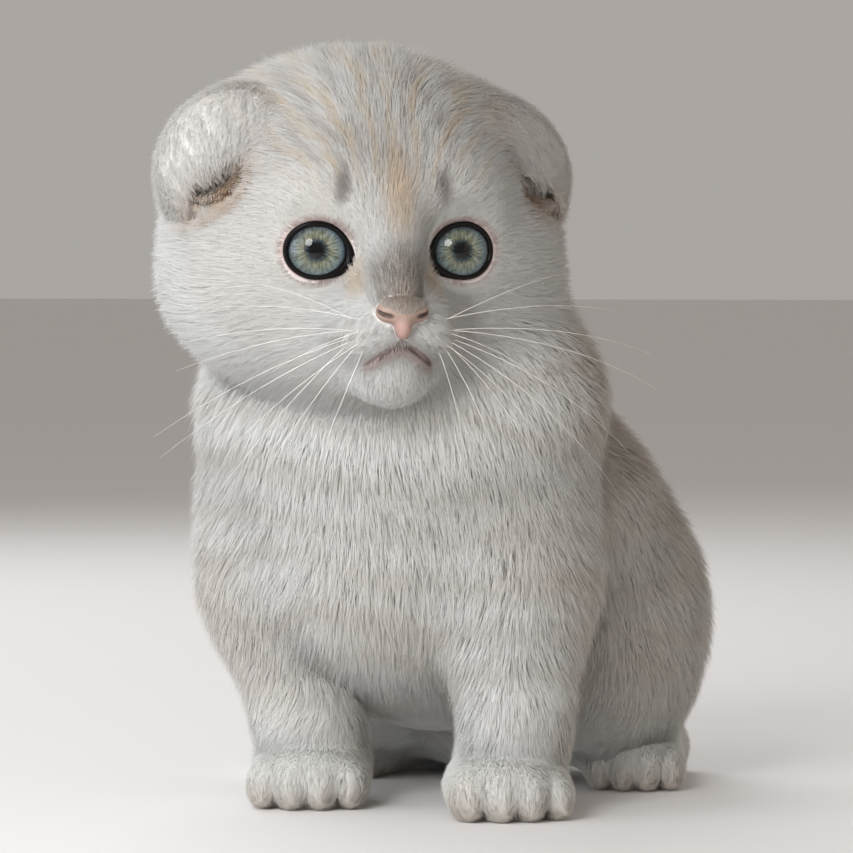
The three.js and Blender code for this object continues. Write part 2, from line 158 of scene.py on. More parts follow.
world = bpy.data.worlds.new("surround")
world.use_nodes = True
world.node_tree.nodes["Background"].inputs["Color"].default_value = (*linear("ece6e0"), 1)
world.node_tree.nodes["Background"].inputs["Strength"].default_value = 0.48
bpy.context.scene.world = world

floor_material, tree = new_material("pale_floor")
shader = add_node(tree, "ShaderNodeBsdfPrincipled", Base_Color=(*linear("e6e4e2"), 1), Roughness=0.8)
show(tree, shader)
floor_mesh = bpy.data.meshes.new("floor")
FLOOR_REACH = 30  # metres
corners = [(x * FLOOR_REACH, y * FLOOR_REACH, 0) for x, y in ((-1, -1), (1, -1), (1, 1), (-1, 1))]
floor_mesh.from_pydata(corners, [], [(0, 1, 2, 3)])
floor_mesh.materials.append(floor_material)
floor_object = bpy.data.objects.new("floor", floor_mesh)
bpy.context.scene.collection.objects.link(floor_object)


# Outline of the coat
# The kitten's form out to the tips of its fur, as a blend of rounded masses. Each form is a
# function that gives how far points lie outside it. The masses are those of the solids, apart from
# slightly lower toes and softer joins at the ears.
def ball(centre, radii):
    centre, radii = np.array(centre, np.float32), np.array(radii, np.float32)

    def outside(points):
        scaled = (points - centre) / radii
        steeper = scaled / radii
        reach = np.sqrt(np.einsum("ij,ij->i", scaled, scaled))
        slope = np.sqrt(np.einsum("ij,ij->i", steeper, steeper))
        return reach * (reach - 1) / np.maximum(slope, 1e-6)

    return outside


def limb(stations):
    ends = [(np.array(station[:3], np.float32), station[3]) for station in stations]

    def outside(points):
        nearest = np.full(len(points), 1e3, np.float32)
        for (start, start_radius), (stop, stop_radius) in zip(ends, ends[1:]):
            span = stop - start
            along = np.clip((points - start) @ span / (span @ span), 0, 1)
            away = np.linalg.norm(points - start - along[:, None] * span, axis=1)
            nearest = np.minimum(nearest, away - start_radius - along * (stop_radius - start_radius))
        return nearest

    return outside


def softer(a, b, k):
    overlap = np.maximum(k - np.abs(a - b), 0) / k
    return np.minimum(a, b) - overlap * overlap * k / 4


def blend(k, *forms):
    def outside(points):
        total = forms[0](points)
        for form in forms[1:]:
            total = softer(total, form(points), k)
        return total

    return outside


def carve(k, form, tool):
    return lambda points: -softer(-form(points), tool(points), k)


def both_sides(form):
    return lambda points: form(np.column_stack([np.abs(points[:, 0]), points[:, 1:]]))


def mirrored(form):
    return lambda points: form(points * np.array([-1, 1, 1], np.float32))


def turned(degrees):
    """Columns are the axes of a frame turned about Z."""
    c, s = math.cos(math.radians(degrees)), math.sin(math.radians(degrees))
    return np.array([[c, -s, 0], [s, c, 0], [0, 0, 1]], np.float32)


def placed(at, axes, form):
    at = np.array(at, np.float32)
    return lambda points: form((points - at) @ axes)


HEAD_AT = np.array([-3, -28.4, 118], np.float32)
HEAD_AXES = turned(37.8)
EYE_RADIUS = 8.4
EYE_AT = np.array([13.7, -22.4, -3.8])
MID = -2  # the trunk leans this far to the kitten's right


def to_head(points):
    return (points - HEAD_AT) @ HEAD_AXES


# Ears, in the head's frame: along the fold, down the flap and outwards
EAR_AT = Vector((30.5, -9, 16))
EAR_OUT = Vector((0.7, -0.59, 0.4)).normalized()
EAR_DOWN = Vector((-0.03, -0.7, -0.68))
EAR_RADII = np.array([15, 13.5, 9.8])
EAR_HOLLOW = np.array([12.6, 12, 7.4])
EAR_HOLLOW_DOWN = 3.2
EAR_EDGE = 9.5
EAR_POSES = {"left": (12, 14, 2.2), "right": (0, 0, 0)}  # tip lifted, tip flared, flap sunk


def ear_frame(prick, flare, sink):
    down = (EAR_DOWN - EAR_DOWN.dot(EAR_OUT) * EAR_OUT).normalized()
    down.rotate(Quaternion(EAR_OUT, math.radians(prick)))
    out = EAR_OUT.copy()
    out.rotate(Quaternion(down, math.radians(flare)))
    axes = np.array([down.cross(out), down, out], np.float32).T
    return np.array(EAR_AT - out * sink, np.float32), axes


EAR_FRAMES = {side: ear_frame(*pose) for side, pose in EAR_POSES.items()}
under_flap = ball((0, 6.5, 5.5), (9.5, 6, 4.2))
ear_hollows = blend(
    1,
    placed(*EAR_FRAMES["left"], under_flap),
    mirrored(placed(*EAR_FRAMES["right"], under_flap)),
)


def near(low, high, form):
    """A form of fine detail. It is worked out only inside a box and counts as far away elsewhere."""

    def outside(points):
        inside = ((points > low) & (points < high)).all(1)
        values = np.full(len(points), 50, np.float32)
        values[inside] = form(points[inside])
        return values

    return outside


def ear_flaps(inset, wall):
    """Both flaps in the head's frame, thinned on the outside by inset and thickened inside by wall."""
    cap = ball((0, 0, 0), EAR_RADII - inset)
    hollow = ball((0, EAR_HOLLOW_DOWN, 0), EAR_HOLLOW - wall)

    def flap(points):
        shell = -softer(-cap(points), hollow(points), 0.8)
        return -softer(-shell, EAR_EDGE - inset - points[:, 1], 1.2)

    left, right = placed(*EAR_FRAMES["left"], flap), mirrored(placed(*EAR_FRAMES["right"], flap))
    return near((-58, -36, -10), (58, 20, 38), lambda points: np.minimum(left(points), right(points)))


# Head
# A broad round skull with full cheeks and a short muzzle, in the head's own frame: +X its left, -Y
# its front. The dishes round the eyes and the hollows under the ears are carved out.
skull = ball((0, 4, 4), (40.5, 36, 35.5))
cheeks = both_sides(ball((16, -2, -9), (26.5, 25, 23)))
jaw = ball((0, -13, -20), (21, 20, 14.5))
brows = both_sides(ball((12, -21, 8), (13, 11.5, 10)))
bridge = limb([(0, -27, 5, 7), (0, -33, -6, 6), (0, -38.5, -13, 4.4)])
muzzle = ball((0, -30, -18.5), (12.5, 11.5, 9.5))
whisker_pads = both_sides(ball((5.3, -34.5, -20.3), (6.8, 7, 5.8)))
chin = ball((0, -30.5, -27.5), (9, 8.6, 7.4))
eye_dishes = both_sides(ball((16.2, -41, EYE_AT[2] + 0.5), (10.6, 13, 10.2)))
face = blend(3, blend(2, muzzle, whisker_pads), bridge, chin)
head_form = carve(3, blend(7, skull, cheeks, jaw, brows, face), blend(1, eye_dishes, ear_hollows))

# Trunk
# A deep chest under the ruff of the neck, two shoulders, a rounded back and a wide rump. The trunk
# sits a little to the kitten's right of its feet.
trunk_form = blend(
    10,
    ball((MID, -14, 60), (34, 28, 37)),  # chest
    ball((MID, -13, 79), (44.5, 31, 28)),  # ruff of the neck
    both_sides(ball((20, -13, 87), (23, 22, 20))),  # cheek ruff
    ball((MID + 3, 4, 88), (30, 29, 24)),  # nape
    ball((MID + 1, 12, 70), (28, 28, 28)),  # withers
    ball((MID - 27, -13, 52), (19, 20, 28)),  # right shoulder
    ball((MID + 26, -12, 52), (19, 20, 28)),  # left shoulder
    ball((MID - 11, 18, 58), (28, 28, 29)),  # right flank
    ball((MID + 14, 22, 58), (31, 29, 28)),  # left flank
    ball((MID + 1, 40, 33), (33, 27, 33)),  # rump
    ball((MID, 8, 34), (25, 28, 21)),  # belly
)


# Legs and feet
# Thick forelegs stand side by side, and the hind legs are folded with their heels on the floor.
# Each paw is a low mound with four rounded toes.
TOES = 4


def paw_form(width, length, height):
    middle = ball((0, -1.4, height * 0.5), (width, length * 0.55, height * 0.62))
    steps = [n - (TOES - 1) / 2 for n in range(TOES)]
    spread = [
        ball(
            (n * width * 0.47, -length * 0.42 + n * n * 1.1, height * 0.38),
            (width * 0.31, length * 0.27, height * 0.42),
        )
        for n in steps
    ]
    return blend(3.0, middle, blend(1.2, *spread))


LEG_RADIUS = 13.2
forepaw = paw_form(12.8, 25, 12.5)
hind_toes = paw_form(10.6, 24, 11)
PAWS = {  # place, turn and form
    "forepaw_left": ((28.2, -26.5, 0), 36, forepaw),
    "forepaw_right": ((-16.6, -24, 0), 22, forepaw),
    "hind_foot_left": ((31.5, 36, 0), 22, hind_toes),
    "hind_foot_right": ((-32.5, 33, 0), -14, hind_toes),
}
paw_forms = {name: placed(at, turned(turn), form) for name, (at, turn, form) in PAWS.items()}
foreleg_left = limb(
    [(27.6, -21, 9, LEG_RADIUS - 1.6), (27.6, -18, 24, LEG_RADIUS), (25.5, -13, 44, LEG_RADIUS + 2)]
)
foreleg_right = limb(
    [(-18, -19, 9, LEG_RADIUS - 1.2), (-22.3, -17, 24, LEG_RADIUS), (-29, -14, 44, LEG_RADIUS + 2)]
)
thigh_left = ball((MID + 27, 36, 36), (22, 29, 33))
thigh_right = ball((MID - 25, 34, 33), (21, 29, 30))
hock_left = limb([(31, 39, 6.4, 8.6), (25, 62, 6, 8.4)])
hock_right = limb([(-32, 36, 6.4, 8.6), (-27, 60, 6, 8.4)])
body_form = blend(
    7,
    trunk_form,
    blend(4, foreleg_left, paw_forms["forepaw_left"]),
    blend(4, foreleg_right, paw_forms["forepaw_right"]),
    blend(4, thigh_left, blend(3.5, hock_left, paw_forms["hind_foot_left"])),
    blend(4, thigh_right, blend(3.5, hock_right, paw_forms["hind_foot_right"])),
)
tail_form = limb(TAIL)
ear_skin = ear_flaps(0.9, 0.9)
ear_coat = ear_flaps(0, 1.6)


def outline(points):
    whole = softer(body_form(points), head_form(to_head(points)), 9)
    return softer(whole, tail_form(points), 3)


def coat_outline(points):
    return softer(outline(points), ear_coat(to_head(points)), 9)


# Skin
# One closed skin runs over the whole kitten. It lies under the outline by the depth of the coat,
# which is a millimetre or two round the eyes, on the muzzle and on the feet, and most on the body.
LEAST_DEPTH = 1.2
MOST_DEPTH = 5.2
TAIL_DEPTH = 2.7
FACE_POINTS = np.array([[13.7, -30, -3.8], [-13.7, -30, -3.8], [0, -40, -18], [0, -37, -8]], np.float32)


def rise(value, low, high):
    t = np.clip((value - low) / (high - low), 0, 1)
    return t * t * (3 - 2 * t)


def coat_depth(points):
    in_head = to_head(points)
    from_face = np.min([np.linalg.norm(in_head - spot, axis=1) for spot in FACE_POINTS], axis=0)
    on_head = LEAST_DEPTH + 0.14 * np.maximum(from_face - 8, 0)
    by_height = 1.5 + 0.06 * np.maximum(points[:, 2], 0) + 0.1 * np.maximum(points[:, 2] - 12, 0)
    on_tail = 1 - rise(tail_form(points), 0, 4)
    by_height = np.maximum(by_height, TAIL_DEPTH * on_tail)
    return np.clip(np.minimum(on_head, by_height), LEAST_DEPTH, MOST_DEPTH)


# The rim of the lids, in the head's frame, as a loop on the eyeball
LID_HALF_WIDTH = 6.15
LID_HALF_HEIGHT = 5.3
EYE_OUTWARD = math.radians(10)
LID_LIFT = 0.35  # how far the rim stands off the eyeball


def lid_rim(side, count):
    angles = np.linspace(0, 2 * math.pi, count, endpoint=False)
    inner = np.maximum(-np.cos(angles - 0.45), 0) ** 6  # the corner at the nose is drawn out and low
    across = (LID_HALF_WIDTH + 0.9 * inner) * np.cos(angles)
    upward = (LID_HALF_HEIGHT + 0.5 * inner) * np.sin(angles)
    forward = np.sqrt(np.maximum((EYE_RADIUS + LID_LIFT) ** 2 - across**2 - upward**2, 1))
    look = np.array([side * math.sin(EYE_OUTWARD), -math.cos(EYE_OUTWARD), 0])
    sideways = np.array([-look[1] * side, look[0] * side, 0])
    centre = EYE_AT * np.array([side, 1, 1])
    return centre + across[:, None] * sideways + forward[:, None] * look + upward[:, None] * [0, 0, 1]


def closed_limb(loop, radius):
    return limb([(*p, radius) for p in [*loop, loop[0]]])


EYES_BOX = ((-26, -46, -17), (26, -14, 10))
MOUTH_BOX = ((-12, -50, -33), (12, -20, -15))
lid_flesh = both_sides(closed_limb(lid_rim(1, 20) + np.array([0.3, 1.35, 0]), 1.35))
eye_bevel = blend(
    1,
    ball((0, -11, 0), (LID_HALF_WIDTH + 1.7, 7.5, LID_HALF_HEIGHT + 1.7)),
    ball((-LID_HALF_WIDTH + 0.3, -11, -2.0), (2.1, 7.5, 2.1)),
)
eye_opening = ball((0, -7, 0), (LID_HALF_WIDTH + 0.5, 9, LID_HALF_HEIGHT + 0.5))
EYE_AXES = turned(math.degrees(EYE_OUTWARD))
eye_bevels, eye_openings = (
    near(*EYES_BOX, both_sides(placed(EYE_AT, EYE_AXES, form))) for form in (eye_bevel, eye_opening)
)
MOUTH = [(6.0, -25.7), (4.2, -24.3), (2.2, -22.9), (0, -22.0)]  # x and z, from a corner to the middle


def on_face(x, z):
    """The first point of the outline met from the front of the head."""
    spot = np.array([[x, -55.0, z]], np.float32)
    for _ in range(60):
        spot[0, 1] += max(head_form(spot)[0] * 0.7, 0.001)
    return spot[0]


mouth_line = np.array([on_face(x, z) for x, z in MOUTH] + [on_face(-x, z) for x, z in MOUTH[-2::-1]])
mouth_line[:, 1] += LEAST_DEPTH - 0.2
mouth_groove = limb([(*p, 0.4) for p in mouth_line])
lips = blend(
    0.8,
    limb([(*(p + [0, 0.7, 0.8]), 0.65) for p in mouth_line]),
    limb([(*(p + [0, 1.1, -0.8]), 0.6) for p in mouth_line]),
)
philtrum_line = np.array([on_face(0, z) for z in (-19.5, -21, -22.4)])
philtrum_line[:, 1] += LEAST_DEPTH - 0.2
philtrum = limb([(*p, 0.45) for p in philtrum_line])
lid_flesh, lips = near(*EYES_BOX, lid_flesh), near(*MOUTH_BOX, lips)
mouth_cuts = near(*MOUTH_BOX, blend(0.5, mouth_groove, philtrum))


def skin_form(points):
    in_head = to_head(points)
    skin = softer(outline(points) + coat_depth(points), ear_skin(in_head), 9)
    skin = softer(skin, np.minimum(lid_flesh(in_head), lips(in_head)), 1.2)
    skin = -softer(-skin, mouth_cuts(in_head), 0.5)
    skin = -softer(-skin, eye_bevels(in_head), 1.0)
    return np.maximum(skin, 0.15 - points[:, 2])


def settled(form, points, most, passes=3):
    """Moves points onto a form's surface, no further than most in a pass."""
    reach = 0.04
    steps = np.eye(3, dtype=np.float32) * reach
    for _ in range(passes):
        value = form(points)
        slope = np.stack([form(points + step) - value for step in steps], axis=1) / reach
        move = -value[:, None] * slope / np.maximum((slope**2).sum(1), 0.25)[:, None]
        length = np.maximum(np.linalg.norm(move, axis=1, keepdims=True), 1e-9)
        points = points + move * np.minimum(1, most / length)
    return points


def surface_of(form, low, high, step):
    """Points and quads of a form's surface. Only blocks of 3 cells that it can pass are filled."""
    blocks = [math.ceil((h - l) / (3 * step)) for l, h in zip(low, high)]
    middles = [l + step * (3 * np.arange(n) + 1) for l, n in zip(low, blocks)]
    coarse = np.stack(np.meshgrid(*middles, indexing="ij"), -1).reshape(-1, 3).astype(np.float32)
    values = form(coarse).reshape(blocks)
    close = np.abs(values) < 3.8 * step
    for axis in range(3):
        values, close = np.repeat(values, 3, axis), np.repeat(close, 3, axis)
    values = np.sign(values) * 5 * step
    cells = np.argwhere(close)
    values[close] = form((np.array(low) + cells * step).astype(np.float32))
    grid = openvdb.FloatGrid(5 * step)
    grid.copyFromArray(values.astype(np.float32))
    points, quads = grid.convertToQuads()
    return settled(form, np.array(low) + points * step, step / 2).astype(np.float32), np.array(quads)[:, ::-1]


def mesh_from(name, points, faces):
    """A mesh from points in millimetres and faces of one size."""
    mesh = bpy.data.meshes.new(name)
    mesh.vertices.add(len(points))
    mesh.vertices.foreach_set("co", in_metres(points).astype(np.float32).ravel())
    mesh.loops.add(faces.size)
    mesh.loops.foreach_set("vertex_index", faces.astype(np.int32).ravel())
    mesh.polygons.add(len(faces))
    mesh.polygons.foreach_set("loop_start", np.arange(0, faces.size, faces.shape[1], dtype=np.int32))
    mesh.polygons.foreach_set("use_smooth", np.full(len(faces), True))
    mesh.update(calc_edges=True)
    return mesh


def points_of(mesh):
    values = np.empty(len(mesh.vertices) * 3, np.float32)
    mesh.vertices.foreach_get("co", values)
    return (values.reshape(-1, 3) * 1000 - SHIFT).astype(np.float32)


def add_piece(name, mesh, material):
    mesh.materials.append(material)
    piece = bpy.data.objects.new(name, mesh)
    bpy.context.scene.collection.objects.link(piece)
    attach(piece, "root")
    return piece


def add_tint(mesh, colours):
    """Stores a linear colour at each vertex, for the material to read."""
    layer = mesh.color_attributes.new("Tint", "FLOAT_COLOR", "POINT")
    values = np.column_stack([colours, np.ones(len(colours))]).astype(np.float32)
    layer.data.foreach_set("color", values.ravel())


def outward(mesh):
    """Turns a closed mesh's faces outward."""
    shell = bmesh.new()
    shell.from_mesh(mesh)
    bmesh.ops.recalc_face_normals(shell, faces=shell.faces)
    shell.to_mesh(mesh)
    shell.free()


# Markings and painted shade
# The coat is a pale cream shaded silver, and on the side away from the window painted shade adds
# to the grey. Streaks of cream and grey run up the forehead, grey flecks cover the bridge of the
# nose, and peach lies under the inner corners of the eyes.
random = np.random.default_rng(7)
WAVES = random.normal(size=(24, 3)).astype(np.float32)
PHASES = random.uniform(0, 2 * math.pi, 24).astype(np.float32)


def ripple(points, size, first=0, count=6):
    """A smooth irregular pattern between about -1 and 1, whose features are size millimetres long."""
    waves = WAVES[first : first + count] * (2.2 / size)
    return np.sin(points @ waves.T + PHASES[first : first + count]).sum(1) / math.sqrt(count * 0.9)


def spot(points, centre, radii):
    """1 at the centre of a soft spot, falling to 0 at twice its radii."""
    away = np.linalg.norm((points - np.array(centre)) / np.array(radii), axis=1)
    return 1 - rise(away, 0.3, 1.6)


def toward(colours, hex_colour, share):
    return colours + (np.array(linear(hex_colour)) - colours) * np.clip(share, 0, 1)[:, None]


def flecked(points):
    """How far dark hairs are mixed in: all over the bridge of the nose, in rows on the whisker pads."""
    head = to_head(points)
    side = np.column_stack([np.abs(head[:, 0]), head[:, 1:]])
    rows = rise(np.sin(head[:, 2] * 2.6 + side[:, 0] * 0.35), 0.0, 0.9)
    rows = rows * rise(np.sin(side[:, 0] * 3.1), -0.6, 0.5)
    on_pads = spot(side, (8.5, -37, -20.5), (5.5, 6, 3.6))
    return np.maximum(spot(head, (0, -38, -10.5), (4.8, 7, 6.2)), 0.75 * rows * on_pads)


def coat_colour(points):
    head = to_head(points)
    side = np.column_stack([np.abs(head[:, 0]), head[:, 1:]])
    on_head = rise(body_form(points) - head_form(head), -6, 4)
    colours = np.tile(np.array(linear("f2f2ef")), (len(points), 1))
    colours = toward(colours, "e4ded5", 0.35 * rise(ripple(points, 14), 0, 1))
    # The back, flanks and haunches are shaded a warm grey, partly the coat's own silver shading and partly
    # painted shade
    colours = toward(colours, "cfcfcd", 0.3 * on_head)
    # painted shade: the grey deepens towards the kitten's left, the side away from the window, and high up
    # behind the cheek
    back = (1 - on_head) * rise(points[:, 1] + 0.6 * points[:, 0], -8, 30) * rise(points[:, 2], 8, 30)
    colours = toward(colours, "bdb0a3", back * (0.25 + 0.4 * rise(points[:, 2], 55, 88)))
    # Faint ghost stripes of the young coat on the chest, flanks and haunches
    bands = np.sin(points[:, 2] * 0.62 + 1.6 * ripple(points, 22, 6) + 0.05 * points[:, 0])
    striped = 0.3 * rise(bands, 0.1, 0.9) * (1 - on_head)
    colours = toward(colours, "d3cabf", striped * rise(points[:, 2], 16, 40))
    # Streaks of the forehead follow the lines of the hair
    angle = np.arctan2(head[:, 0], head[:, 2] + 16)
    streak = np.sin(angle * 46 + 1.2 * ripple(head, 9, 12))
    streak = streak + 0.6 * np.sin(angle * 91 + 2 * ripple(head, 7, 14))
    crown = on_head * rise(head[:, 2], 3, 14) * (1 - rise(np.abs(angle), 0.35, 0.8))
    crown = crown * (1 - rise(head[:, 1], -8, 20))
    colours = toward(colours, "dcc9ac", crown * 0.55 * rise(streak, 0.1, 1.2))
    colours = toward(colours, "bdb6b0", crown * 0.5 * rise(-streak, 0.2, 1.3))
    colours = toward(colours, "e6d3b9", on_head * 0.7 * spot(head, (0.5, -29, 4), (2.6, 9, 9)))
    # Marks over the inner corners of the eyes, and peach below them
    colours = toward(colours, "908a85", on_head * 0.75 * spot(side, (9.4, -30, 7.4), (1.4, 6, 2.8)))
    colours = toward(colours, "e2cfb4", on_head * 0.7 * spot(side, (6.9, -34, -9.2), (1.7, 5, 3.8)))
    # Grey on the bridge of the nose and in rows where the whiskers grow, mauve along the mouth and lids
    colours = toward(colours, "aea59c", on_head * 0.85 * flecked(points))
    from_mouth = np.minimum(near(*MOUTH_BOX, limb([(*p, 0.0) for p in mouth_line]))(head), 20)
    below = np.minimum(near(*MOUTH_BOX, limb([(x, y, z - 0.9, 0.0) for x, y, z in mouth_line]))(head), 20)
    colours = toward(colours, "cbb0a8", on_head * 0.55 * (1 - rise(below, 0.3, 2.6)))
    colours = toward(colours, "6a4f4a", on_head * 0.8 * (1 - rise(from_mouth, 0.35, 0.8)))
    from_lids = near(*EYES_BOX, both_sides(closed_limb(lid_rim(1, 20), 0.0)))(head)
    colours = toward(colours, "b0948e", on_head * 0.8 * (1 - rise(from_lids, 0.6, 1.5)))
    colours = toward(colours, "b0a294", on_head * 0.8 * spot(head, (0, -43, -14.5), (5, 4.5, 2.4)))
    # The flaps are a little greyer, as painted shade against the light that falls full on them, and the hair
    # in their hollows is a light brown
    flap_shade_mask = on_head * (1 - rise(ear_coat(head), -1, 3))
    colours = toward(colours, "c9c6c2", 0.45 * flap_shade_mask)
    for side_name, (at, axes) in EAR_FRAMES.items():
        mirror = np.array([1 if side_name == "left" else -1, 1, 1], np.float32)
        inner = spot((head * mirror - at) @ axes, (0, 9.5, 0.5), (10, 6, 5))
        strands = np.clip(0.7 + 0.4 * ripple(head, 1.6, 4), 0, 1)
        colours = toward(colours, "cbb094", on_head * 0.95 * inner * strands)
    # A tan tint over the low part of each paw
    toe_height = 1 - rise(points[:, 2], 3, 8)
    front = np.min([form(points) for form in paw_forms.values()], axis=0)
    colours = toward(colours, "cdb39a", 0.22 * toe_height * (1 - rise(front, -2, 1)))
    return colours


# Skin mesh
# The form of the skin as quads, halved round the ears, the eyes and the mouth so that their thin
# edges stay crisp. Its colour comes from the markings and the painted shade, as the coat's does.
SKIN_STEP = 1.2
skin_points, skin_quads = surface_of(skin_form, (-64, -68, -2), (56, 78, 160), SKIN_STEP)
skin_mesh = mesh_from("skin", skin_points, skin_quads)


def refine_face(mesh):
    """Halves the skin's faces at the ears, eyes and mouth, twice at the last two, and settles them."""
    shell = bmesh.new()
    shell.from_mesh(mesh)
    for fineness in (1, 2):
        places = np.array([v.co for v in shell.verts], np.float32) * 1000 - SHIFT.astype(np.float32)
        head = to_head(places)
        from_lids = both_sides(closed_limb(lid_rim(1, 16), 5.6 - 1.8 * fineness))(head)
        from_mouth = limb([(*p, 6.5 - 2.2 * fineness) for p in mouth_line])(head)
        wanted = np.minimum(from_lids, from_mouth) < 0
        if fineness == 1:
            wanted |= np.abs(ear_skin(head)) < 0.8
        shell.verts.ensure_lookup_table()
        edges = [e for e in shell.edges if wanted[e.verts[0].index] and wanted[e.verts[1].index]]
        bmesh.ops.subdivide_edges(shell, edges=edges, cuts=1, use_grid_fill=True)
        shell.verts.index_update()
    bmesh.ops.triangulate(shell, faces=[f for f in shell.faces if len(f.verts) > 4])
    shell.to_mesh(mesh)
    shell.free()
    points = settled(skin_form, points_of(mesh), 0.4, 4)
    mesh.vertices.foreach_set("co", in_metres(points).astype(np.float32).ravel())
    mesh.polygons.foreach_set("use_smooth", np.full(len(mesh.polygons), True))
    mesh.update()


refine_face(skin_mesh)
outward(skin_mesh)
add_tint(skin_mesh, coat_colour(points_of(skin_mesh)) * 0.97)


def grain_of(tree, size):
    """Irregular grains about size millimetres across, fixed to the piece."""
    place = add_node(tree, "ShaderNodeTexCoord").outputs["Object"]
    return add_node(tree, "ShaderNodeTexNoise", links={"Vector": place}, Scale=1000 / size / 3).outputs["Fac"]


# Undercoat over skin: very fine, dense and soft, so it shows no gloss and only a soft grain.
UNDERCOAT_GRAIN = 0.35  # millimetres
skin_material, tree = new_material("undercoat")
tint = add_node(tree, "ShaderNodeAttribute", {"attribute_name": "Tint"})
grain = grain_of(tree, UNDERCOAT_GRAIN)
bump = add_node(tree, "ShaderNodeBump", links={"Height": grain}, Strength=0.5, Distance=0.0003)
shader = add_node(
    tree,
    "ShaderNodeBsdfPrincipled",
    links={"Base Color": tint.outputs["Color"], "Normal": bump.outputs["Normal"]},
    Roughness=0.9,
    Sheen_Weight=0.2,
    Specular_IOR_Level=0.2,
)
show(tree, shader)
skin = add_piece("skin", skin_mesh, skin_material)
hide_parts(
    "head", "ear_left", "ear_right", "neck", "torso", "foreleg_left", "foreleg_right", "forepaw_left",
    "forepaw_right", "thigh_left", "thigh_right", "hind_foot_left", "hind_foot_right", "tail",
)


# Eyes
# A white ball with a recessed blue-green iris and a small round pupil, under a clear wet cornea
# that bulges forward. A thin black rim of lid skin runs round the opening.
CORNEA_RADIUS = EYE_RADIUS * 0.82
CORNEA_FORWARD = EYE_RADIUS * 0.31
LIMBUS_FORWARD = (EYE_RADIUS**2 - CORNEA_RADIUS**2 + CORNEA_FORWARD**2) / (2 * CORNEA_FORWARD)
LIMBUS_RADIUS = math.sqrt(EYE_RADIUS**2 - LIMBUS_FORWARD**2)
# From the pupil out: the share of the iris's radius, and how far forward it lies
IRIS_PROFILE = [(0.0, 0.35), (0.3, 0.36), (0.65, 0.3), (0.9, 0.12), (0.975, -0.05)]
EYE_TURNS = 64


def lathe(profile, side):
    """Turns radius and forward pairs about the line of sight of one eye, closed at both ends."""
    look = np.array([side * math.sin(EYE_OUTWARD), -math.cos(EYE_OUTWARD), 0])
    sideways = np.array([-look[1], look[0], 0])
    up = np.array([0, 0, 1.0])
    angles = np.linspace(0, 2 * math.pi, EYE_TURNS, endpoint=False)
    rings = [
        np.outer(np.cos(angles), sideways) * r + np.outer(np.sin(angles), up) * r + look * f
        for r, f in profile[1:-1]
    ]
    ends = [look * profile[0][1], look * profile[-1][1]]
    local = np.concatenate([*rings, ends])
    count = len(rings)
    turn = np.arange(EYE_TURNS)
    after = (turn + 1) % EYE_TURNS
    faces = []
    for first in range(0, (count - 1) * EYE_TURNS, EYE_TURNS):
        here, beside = first + turn, first + after
        faces.append(np.column_stack([here, beside, beside + EYE_TURNS]))
        faces.append(np.column_stack([here, beside + EYE_TURNS, here + EYE_TURNS]))
    last = (count - 1) * EYE_TURNS
    faces.append(np.column_stack([np.full(EYE_TURNS, len(local) - 2), after, turn]))
    faces.append(np.column_stack([np.full(EYE_TURNS, len(local) - 1), last + turn, last + after]))
    in_head = EYE_AT * np.array([side, 1, 1]) + local
    plane = np.column_stack([local @ sideways, local @ up])
    return in_head @ HEAD_AXES.T + HEAD_AT, np.concatenate(faces), plane


def arc(radius, forward, start, stop, count):
    angles = np.linspace(start, stop, count)
    return [(radius * math.sin(a), forward + radius * math.cos(a)) for a in angles]


# Iris and white of the eye: fibres run from the pupil to a dark edge, with warmer patches.
eye_material, tree = new_material("iris_and_sclera")
spokes = add_node(tree, "ShaderNodeAttribute", {"attribute_name": "Spokes"}).outputs["Vector"]
apart = add_node(tree, "ShaderNodeSeparateXYZ", links={"Vector": spokes})
stretch = add_node(tree, "ShaderNodeMapping", links={"Vector": spokes}, Scale=(7, 7, 0.5)).outputs["Vector"]
fibres = add_node(tree, "ShaderNodeTexNoise", links={"Vector": stretch}, Scale=1.6, Detail=6.0).outputs["Fac"]
patches = add_node(tree, "ShaderNodeTexNoise", links={"Vector": spokes}, Scale=1.3, Detail=4.0).outputs["Fac"]
wobble = add_node(
    tree, "ShaderNodeMath", {"operation": "MULTIPLY_ADD"}, links={0: fibres, 2: apart.outputs["Z"]}
)
wobble.inputs[1].default_value = 1.5
share = add_node(tree, "ShaderNodeMath", {"operation": "DIVIDE"}, links={0: wobble.outputs[0]})
share.inputs[1].default_value = LIMBUS_RADIUS + 1.2
rings = add_node(tree, "ShaderNodeValToRGB", links={"Fac": share.outputs[0]})
IRIS_RINGS = [
    (0.0, "010101"), (0.26, "010203"), (0.32, "0c1317"), (0.39, "333f42"), (0.48, "6c6f60"),
    (0.6, "6d746a"), (0.73, "5f6d70"), (0.84, "424f56"), (0.89, "12171b"), (0.93, "030304"),
]
ramp = rings.color_ramp
while len(ramp.elements) < len(IRIS_RINGS):
    ramp.elements.new(0.5)
for element, (at, colour) in zip(ramp.elements, IRIS_RINGS):
    element.position = at
    element.color = (*linear(colour), 1)
warm = add_node(tree, "ShaderNodeMix", {"data_type": "RGBA", "blend_type": "MULTIPLY"})
tree.links.new(rings.outputs["Color"], warm.inputs[6])
warm.inputs[7].default_value = (1.0, 0.9, 0.72, 1)
patch_share = add_node(tree, "ShaderNodeMapRange", links={"Value": patches}, From_Min=0.45, From_Max=0.7)
tree.links.new(patch_share.outputs[0], warm.inputs[0])
contrast = add_node(tree, "ShaderNodeMix", {"data_type": "RGBA", "blend_type": "OVERLAY"})
contrast.inputs[0].default_value = 0.5
tree.links.new(warm.outputs[2], contrast.inputs[6])
strands = add_node(tree, "ShaderNodeMapRange", links={"Value": fibres}, From_Min=0.36, From_Max=0.64)
